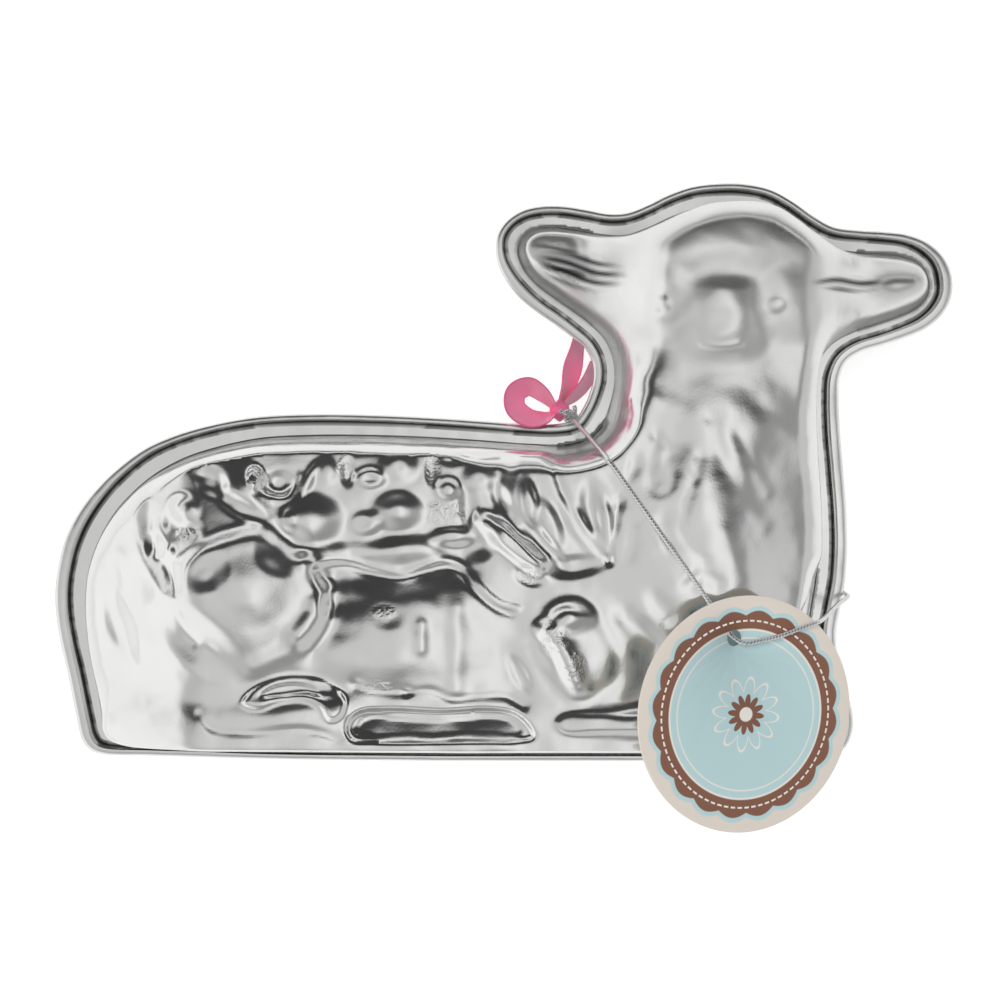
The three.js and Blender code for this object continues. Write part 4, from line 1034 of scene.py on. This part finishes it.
# Hang tag: a round of 0.8 mm card, printed in three flat colours with rings and scallops, die cut with
# its punched hole. It hangs on the cord and lies tilted against the base.
TAG_DIAMETER = 72
TAG_THICKNESS = 0.8
TAG_HOLE = 5
TAG_HOLE_IN = 12.3
TAG_MIDDLE = (74.1, -32, 105.6)
TAG_TILT = 22.5
TAG_LEAN = 8
TAG_HOLE_TURN = 10.4
TAG_SIDES = 160
TAG_HOLE_SIDES = 36
TAG_EDGE = 0.12
CARD_SHARP = 30
CARD_ROUGHNESS = 0.62
CARD_FIBRE = 2.4
CARD_MOTTLE = (0.94, 1.04)
CARD_TOOTH = (0.25, 0.04)
INK_ROUGHNESS = 0.5
INK_GRAIN = 1600
INK_TOOTH = (0.2, 0.02)
CARD_CREAM = "#ebe1d6"
INK_BLUE = "#c2dfe2"
INK_BROWN = "#8a5f4c"
INK_WHITE = "#f6f1ea"
# Printed rounds from the outside in: radius, ink, and how many lobes the edge has and their height
PRINT_RINGS = [
    (31.4, INK_BLUE, 20, 1.6), (30, INK_BROWN, 20, 1.6), (26, INK_WHITE, 0, 0), (25.4, INK_BLUE, 0, 0),
    (23.4, INK_WHITE, 0, 0), (23, INK_BLUE, 0, 0), (7.2, INK_WHITE, 12, 4.4), (6.4, INK_BLUE, 12, 4.4),
    (3.6, INK_BROWN, 12, 2.6), (2.2, INK_WHITE, 0, 0),
]
PRINT_EDGE = 0.16
DASHES = 76
DASH_SIZE = (1.5, 0.55, 0.06)
DASH_RING = 28.4


def card_blank():
    """The flat card with its hole, round its own middle. Its UV map holds the place in mm."""
    hole_angle = math.radians(90 + TAG_HOLE_TURN + TAG_LEAN)
    hole_reach = TAG_DIAMETER / 2 - TAG_HOLE_IN
    hole_x = hole_reach * math.cos(hole_angle)
    hole_y = hole_reach * math.sin(hole_angle)
    half = TAG_THICKNESS / 2

    def ring(x, y, radius, sides):
        turns = [2 * math.pi * k / sides for k in range(sides)]
        return [(x + radius * math.cos(a), y + radius * math.sin(a)) for a in turns]

    rows = ring(0, 0, TAG_DIAMETER / 2 - TAG_EDGE, TAG_SIDES)
    rows += ring(hole_x, hole_y, TAG_HOLE / 2 + TAG_EDGE, TAG_HOLE_SIDES)
    sides = [(k, (k + 1) % TAG_SIDES) for k in range(TAG_SIDES)]
    sides += [(TAG_SIDES + k, TAG_SIDES + (k + 1) % TAG_HOLE_SIDES) for k in range(TAG_HOLE_SIDES)]
    flat = [Vector(row) for row in rows]
    spots, _, triangles, _, _, _ = delaunay_2d_cdt(flat, sides, [], 2, PLAN_WELD)
    triangles = [t for t in triangles if math.hypot(
        sum(spots[i].x for i in t) / 3 - hole_x, sum(spots[i].y for i in t) / 3 - hole_y) > TAG_HOLE / 2]
    levels = []
    for z, inset in ((half, 0), (half - TAG_EDGE, 1), (TAG_EDGE - half, 1), (-half, 0)):
        outer = ring(0, 0, TAG_DIAMETER / 2 - TAG_EDGE * (1 - inset), TAG_SIDES)
        inner = ring(hole_x, hole_y, TAG_HOLE / 2 + TAG_EDGE * (1 - inset), TAG_HOLE_SIDES)
        levels.append([(x, y, z) for x, y in outer + inner])
    count = TAG_SIDES + TAG_HOLE_SIDES
    vertices = [row for level in levels for row in level]
    faces = []
    for triangle in triangles:
        up = facing_up(spots, triangle)
        faces.append(up)
        faces.append(tuple(3 * count + i for i in reversed(up)))
    for level in range(3):
        for a, b in sides:
            quad = (a + level * count, a + (level + 1) * count, b + (level + 1) * count, b + level * count)
            faces.append(quad if a < TAG_SIDES else quad[::-1])
    return vertices, faces, [(x, y) for x, y, _ in vertices]


# Coated card: matt paper board with a fine tooth, its inks flat
def printed_card():
    material, tree = new_material("printed_card")
    place = node(tree, "ShaderNodeUVMap", {"uv_map": "UVMap"})
    split = node(tree, "ShaderNodeSeparateXYZ", Vector=place.outputs["UV"])
    reach = node(tree, "ShaderNodeVectorMath", {"operation": "LENGTH"}, in0=place.outputs["UV"])
    turn = node(tree, "ShaderNodeMath", {"operation": "ARCTAN2"}, in0=split.outputs["Y"],
                in1=split.outputs["X"])

    def wave(count, size):
        spin = node(tree, "ShaderNodeMath", {"operation": "MULTIPLY"}, in0=turn.outputs[0], in1=count / 2)
        swing = node(tree, "ShaderNodeMath", {"operation": "COSINE"}, in0=spin.outputs[0])
        bump = node(tree, "ShaderNodeMath", {"operation": "ABSOLUTE"}, in0=swing.outputs[0])
        return node(tree, "ShaderNodeMath", {"operation": "MULTIPLY"}, in0=bump.outputs[0], in1=size)

    def print_within(ground, radius, ink, swing=None):
        edge = reach.outputs["Value"]
        if swing is not None:
            bitten = node(tree, "ShaderNodeMath", {"operation": "SUBTRACT"}, in0=edge, in1=swing.outputs[0])
            edge = bitten.outputs[0]
        share = node(tree, "ShaderNodeMapRange", in0=edge, in1=radius + PRINT_EDGE, in2=radius - PRINT_EDGE)
        return node(tree, "ShaderNodeMix", {"data_type": "RGBA"}, in0=share.outputs[0], in6=ground,
                    in7=colour(ink)).outputs[2]

    tint = colour(CARD_CREAM)
    for radius, ink, count, swing in PRINT_RINGS:
        tint = print_within(tint, radius, ink, wave(count, swing) if count else None)
    fibre = node(tree, "ShaderNodeTexNoise", Vector=place.outputs["UV"], Scale=CARD_FIBRE, Detail=4.0)
    mottle = node(tree, "ShaderNodeMapRange", in0=fibre.outputs[0], in3=CARD_MOTTLE[0],
                  in4=CARD_MOTTLE[1])
    tone = node(tree, "ShaderNodeMix", {"data_type": "RGBA", "blend_type": "MULTIPLY"}, in0=1.0, in6=tint,
                in7=mottle.outputs[0])
    bump = node(tree, "ShaderNodeBump", Strength=CARD_TOOTH[0], Distance=CARD_TOOTH[1] * MM,
                Height=fibre.outputs[0])
    shader = node(tree, "ShaderNodeBsdfPrincipled", Base_Color=tone.outputs[2], Roughness=CARD_ROUGHNESS,
                  Normal=bump.outputs[0])
    node(tree, "ShaderNodeOutputMaterial", Surface=shader.outputs[0])
    return material


# White ink, laid on thickly as a row of short stitches
def white_ink():
    material, tree = new_material("white_ink")
    place = node(tree, "ShaderNodeTexCoord")
    grain = node(tree, "ShaderNodeTexNoise", Vector=place.outputs["Object"], Scale=INK_GRAIN)
    bump = node(tree, "ShaderNodeBump", Strength=INK_TOOTH[0], Distance=INK_TOOTH[1] * MM,
                Height=grain.outputs[0])
    shader = node(tree, "ShaderNodeBsdfPrincipled", Base_Color=colour(INK_WHITE), Roughness=INK_ROUGHNESS,
                  Normal=bump.outputs[0])
    node(tree, "ShaderNodeOutputMaterial", Surface=shader.outputs[0])
    return material


def stitched_ring():
    """A node tree that makes a ring of short dashes, each turned along the ring."""
    tree = bpy.data.node_groups.new("stitched_ring", "GeometryNodeTree")
    sockets = {}
    wanted = [
        ("Dashes", "NodeSocketInt"), ("Ring radius", "NodeSocketFloat"), ("Dash size", "NodeSocketVector"),
        ("Height", "NodeSocketFloat"), ("Ink", "NodeSocketMaterial"),
    ]
    for name, kind in wanted:
        sockets[name] = tree.interface.new_socket(name, in_out="INPUT", socket_type=kind).identifier
    tree.interface.new_socket("Geometry", in_out="OUTPUT", socket_type="NodeSocketGeometry")
    given = node(tree, "NodeGroupInput")
    ring = node(tree, "GeometryNodeMeshCircle", Vertices=given.outputs["Dashes"],
                Radius=given.outputs["Ring radius"])
    lift = node(tree, "ShaderNodeCombineXYZ", Z=given.outputs["Height"])
    raised = node(tree, "GeometryNodeSetPosition", Geometry=ring.outputs[0], Offset=lift.outputs[0])
    dash = node(tree, "GeometryNodeMeshCube", Size=given.outputs["Dash size"])
    number = node(tree, "GeometryNodeInputIndex")
    share = node(tree, "ShaderNodeMath", {"operation": "DIVIDE"}, in0=number.outputs[0],
                 in1=given.outputs["Dashes"])
    spin = node(tree, "ShaderNodeMath", {"operation": "MULTIPLY_ADD"}, in0=share.outputs[0], in1=2 * math.pi,
                in2=math.pi / 2)
    turned = node(tree, "ShaderNodeCombineXYZ", Z=spin.outputs[0])
    placed = node(tree, "GeometryNodeInstanceOnPoints", Points=raised.outputs[0], Instance=dash.outputs[0],
                  Rotation=turned.outputs[0])
    real = node(tree, "GeometryNodeRealizeInstances", Geometry=placed.outputs[0])
    inked = node(tree, "GeometryNodeSetMaterial", Geometry=real.outputs[0], Material=given.outputs["Ink"])
    node(tree, "NodeGroupOutput", Geometry=inked.outputs[0])
    return tree, sockets


tag_turn = Matrix.Rotation(-math.radians(TAG_LEAN), 4, "Z") @ Matrix.Rotation(math.radians(TAG_TILT), 4, "Y")
tag_place = Matrix.Translation(Vector(TAG_MIDDLE) * MM) @ tag_turn
hang_tag = add_object("hang_tag_card", *card_blank())
hang_tag.data.materials.append(printed_card())
hang_tag.data.transform(tag_place)
hang_tag.data.set_sharp_from_angle(angle=math.radians(CARD_SHARP))
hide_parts("hang_tag")
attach(hang_tag, "tag")


# Tag stitches: a ring of short dashes in thick white ink, printed on top of the card's brown round
ring_tree, ring_sockets = stitched_ring()
ring_start = add_object("tag_stitches_start", [], [])
ring_modifier = ring_start.modifiers.new("stitched_ring", "NODES")
ring_modifier.node_group = ring_tree
ring_modifier[ring_sockets["Dashes"]] = DASHES
ring_modifier[ring_sockets["Ring radius"]] = DASH_RING * MM
ring_modifier[ring_sockets["Dash size"]] = [side * MM for side in DASH_SIZE]
ring_modifier[ring_sockets["Height"]] = TAG_THICKNESS / 2 * MM
ring_modifier[ring_sockets["Ink"]] = white_ink()
ring_start.update_tag()
bpy.context.view_layer.update()
ring_made = ring_start.evaluated_get(bpy.context.evaluated_depsgraph_get())
stitch_mesh = bpy.data.meshes.new_from_object(ring_made)
bpy.data.objects.remove(ring_start)
stitch_mesh.transform(tag_place)
tag_stitches = bpy.data.objects.new("tag_stitches", stitch_mesh)
bpy.context.scene.collection.objects.link(tag_stitches)
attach(tag_stitches, "tag")


# Ribbon bow: 10 mm pink satin ribbon, knotted once round the cord beside its knot. One loop opens towards
# the viewer, and the two tails run up and away behind the neck.
RIBBON_WIDTH = 10
RIBBON_THICKNESS = 0.45
RIBBON_KNOT_MIDDLE = (19.5, 62, 45)
RIBBON_KNOT = (7, 7.4, 8)
RIBBON_STEPS = 9
RIBBON_ACROSS = 6
RIBBON_CUP = 0.35
RIBBON_PINK = "#ff9abf"
# Deeper pink: the woven edges, and painted shade near the knot
RIBBON_DEEP_EDGE_AND_SHADE = "#f5679c"
RIBBON_DEEP_SHARES = (0.43, 0.48)
RIBBON_KNOT_SHADE_REACH = (3, 9)
RIBBON_KNOT_SHADE_MOST = 0.8
RIBBON_THREAD = 0.35
RIBBON_THREAD_BUMP = (0.25, 0.03)
RIBBON_ROUGHNESS = 0.34
RIBBON_SHARP = 60
RIBBON_WELD = 0.01
# Places from the knot's middle and, last, how far the band leans over from standing on its edge
RIBBON_LOOP = [
    (-1.6, -0.8, 1.5, 8), (-5.2, -2.6, 4.5, 26), (-10.2, -2.6, 6.5, 38), (-14.4, 0.6, 7, 42),
    (-14.4, 5.4, 6, 40), (-10.1, 7.6, 4.5, 34), (-5.7, 5.2, 3, 26), (-1.6, 1, 1, 8),
]
RIBBON_TAILS = [
    [(0.3, 2.2, -1, 10), (2.7, 7.2, -4, 25), (4.5, 14.2, -6.5, 38), (6.1, 21.2, -8, 26),
     (7.2, 28.2, -8.6, 16)],
    [(1.3, 1.8, -2.4, 6), (5.4, 5.2, -5.4, 18), (9.4, 10.2, -7.4, 22), (11.4, 16.2, -8.4, 12)],
]


def satin_band(rows, vertices, faces, uv):
    """A thin closed band, a little cupped across its width, and leant over along its run."""
    run = curve_through([row[:3] for row in rows], RIBBON_STEPS)
    leans = [p.x for p in curve_through([(row[3], 0, 10 * i) for i, row in enumerate(rows)], RIBBON_STEPS)]
    middle = Vector(RIBBON_KNOT_MIDDLE)
    first = len(vertices)
    around = 2 * (RIBBON_ACROSS + 1)
    length = 0
    for i, point in enumerate(run):
        ahead = run[min(i + 1, len(run) - 1)]
        behind = run[max(i - 1, 0)]
        length += (point - behind).length
        tangent = (ahead - behind).normalized()
        out = Vector((tangent.y, -tangent.x, 0)).normalized()
        lean = math.radians(leans[i])
        wide = (Vector((0, 0, 1)) * math.cos(lean) - out * math.sin(lean)).normalized()
        face = tangent.cross(wide).normalized()
        for side in (1, -1):
            for k in range(RIBBON_ACROSS + 1):
                share = (k / RIBBON_ACROSS - 0.5) * side
                cup = RIBBON_CUP * (4 * share * share - 1)
                spot = point + wide * share * RIBBON_WIDTH + face * (cup + side * RIBBON_THICKNESS / 2)
                vertices.append(middle + spot)
                uv.append((share, length))
    for i in range(len(run) - 1):
        for k in range(around):
            a = first + i * around + k
            b = first + i * around + (k + 1) % around
            faces.append((a, a + around, b + around, b))
    faces.append(tuple(first + k for k in range(around)))
    faces.append(tuple(first + (len(run) - 1) * around + k for k in reversed(range(around))))
    return length


# Polyester satin: long floats over a fine ground, so it is smooth and glossy along the thread, and deeper
# pink along its woven edges. Near the knot the pink deepens too, as painted shade in the pleats
def pink_satin():
    material, tree = new_material("pink_satin")
    place = node(tree, "ShaderNodeUVMap", {"uv_map": "UVMap"})
    split = node(tree, "ShaderNodeSeparateXYZ", Vector=place.outputs["UV"])
    spin = node(tree, "ShaderNodeMath", {"operation": "MULTIPLY"}, in0=split.outputs["X"],
                in1=2 * math.pi * RIBBON_WIDTH / RIBBON_THREAD)
    thread = node(tree, "ShaderNodeMath", {"operation": "SINE"}, in0=spin.outputs[0])
    away = node(tree, "ShaderNodeMath", {"operation": "ABSOLUTE"}, in0=split.outputs["X"])
    edge = node(tree, "ShaderNodeMapRange", in0=away.outputs[0], in1=RIBBON_DEEP_SHARES[0],
                in2=RIBBON_DEEP_SHARES[1])
    spot = node(tree, "ShaderNodeTexCoord")
    middle = tuple(side * MM for side in RIBBON_KNOT_MIDDLE)
    from_knot = node(tree, "ShaderNodeVectorMath", {"operation": "DISTANCE"}, in0=spot.outputs["Object"],
                     in1=middle)
    # Painted shade: deeper pink towards the knot's middle, where the pleats shade each other
    knot_painted_shade = node(tree, "ShaderNodeMapRange", in0=from_knot.outputs["Value"], in1=RIBBON_KNOT_SHADE_REACH[1] * MM,
                  in2=RIBBON_KNOT_SHADE_REACH[0] * MM, in4=RIBBON_KNOT_SHADE_MOST)
    deep = node(tree, "ShaderNodeMath", {"operation": "MAXIMUM"}, in0=edge.outputs[0],
                in1=knot_painted_shade.outputs[0])
    tint = node(tree, "ShaderNodeMix", {"data_type": "RGBA"}, in0=deep.outputs[0], in6=colour(RIBBON_PINK),
                in7=colour(RIBBON_DEEP_EDGE_AND_SHADE))
    bump = node(tree, "ShaderNodeBump", Strength=RIBBON_THREAD_BUMP[0],
                Distance=RIBBON_THREAD_BUMP[1] * MM, Height=thread.outputs[0])
    shader = node(tree, "ShaderNodeBsdfPrincipled", Base_Color=tint.outputs[2], Roughness=RIBBON_ROUGHNESS,
                  Anisotropic=0.5, Sheen_Weight=0.3, Normal=bump.outputs[0])
    node(tree, "ShaderNodeOutputMaterial", Surface=shader.outputs[0])
    return material


bow_vertices = []
bow_faces = []
bow_uv = []
ribbon_length = math.pi * RIBBON_KNOT[1]
for rows in [RIBBON_LOOP, *RIBBON_TAILS]:
    ribbon_length += satin_band(rows, bow_vertices, bow_faces, bow_uv)
# The knot is the band itself, wrapped once round and drawn tight into soft pleats
KNOT_RINGS = 20
KNOT_SIDES = 36
PLEATS = 6
PLEAT_SHARE = 0.07
KNOT_UV_WIDTH = 0.86
first = len(bow_vertices)
for i in range(KNOT_RINGS + 1):
    rise = math.pi * (i / KNOT_RINGS - 0.5)
    for k in range(KNOT_SIDES):
        turn = 2 * math.pi * k / KNOT_SIDES
        pleat = 1 + PLEAT_SHARE * math.cos(PLEATS * rise + math.sin(turn)) - PLEAT_SHARE
        x = RIBBON_KNOT[0] / 2 * math.sin(rise) * pleat
        y = RIBBON_KNOT[1] / 2 * math.cos(rise) * math.cos(turn) * pleat
        z = RIBBON_KNOT[2] / 2 * math.cos(rise) * math.sin(turn) * pleat
        bow_vertices.append(Vector(RIBBON_KNOT_MIDDLE) + Vector((x, y, z)))
        bow_uv.append((KNOT_UV_WIDTH * (i / KNOT_RINGS - 0.5), turn * RIBBON_KNOT[1] / 2))
for i in range(KNOT_RINGS):
    for k in range(KNOT_SIDES):
        a = first + i * KNOT_SIDES + k
        b = first + i * KNOT_SIDES + (k + 1) % KNOT_SIDES
        bow_faces.append((a, a + KNOT_SIDES, b + KNOT_SIDES, b))
bow = add_object("ribbon_bow_satin", bow_vertices, bow_faces, bow_uv)
bow_shell = bmesh.new()
bow_shell.from_mesh(bow.data)
bmesh.ops.remove_doubles(bow_shell, verts=bow_shell.verts, dist=RIBBON_WELD * MM)
bmesh.ops.recalc_face_normals(bow_shell, faces=bow_shell.faces)
bow_shell.to_mesh(bow.data)
bow_shell.free()
bow.data.materials.append(pink_satin())
bow.data.set_sharp_from_angle(angle=math.radians(RIBBON_SHARP))
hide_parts("ribbon_bow")
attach(bow, "back")
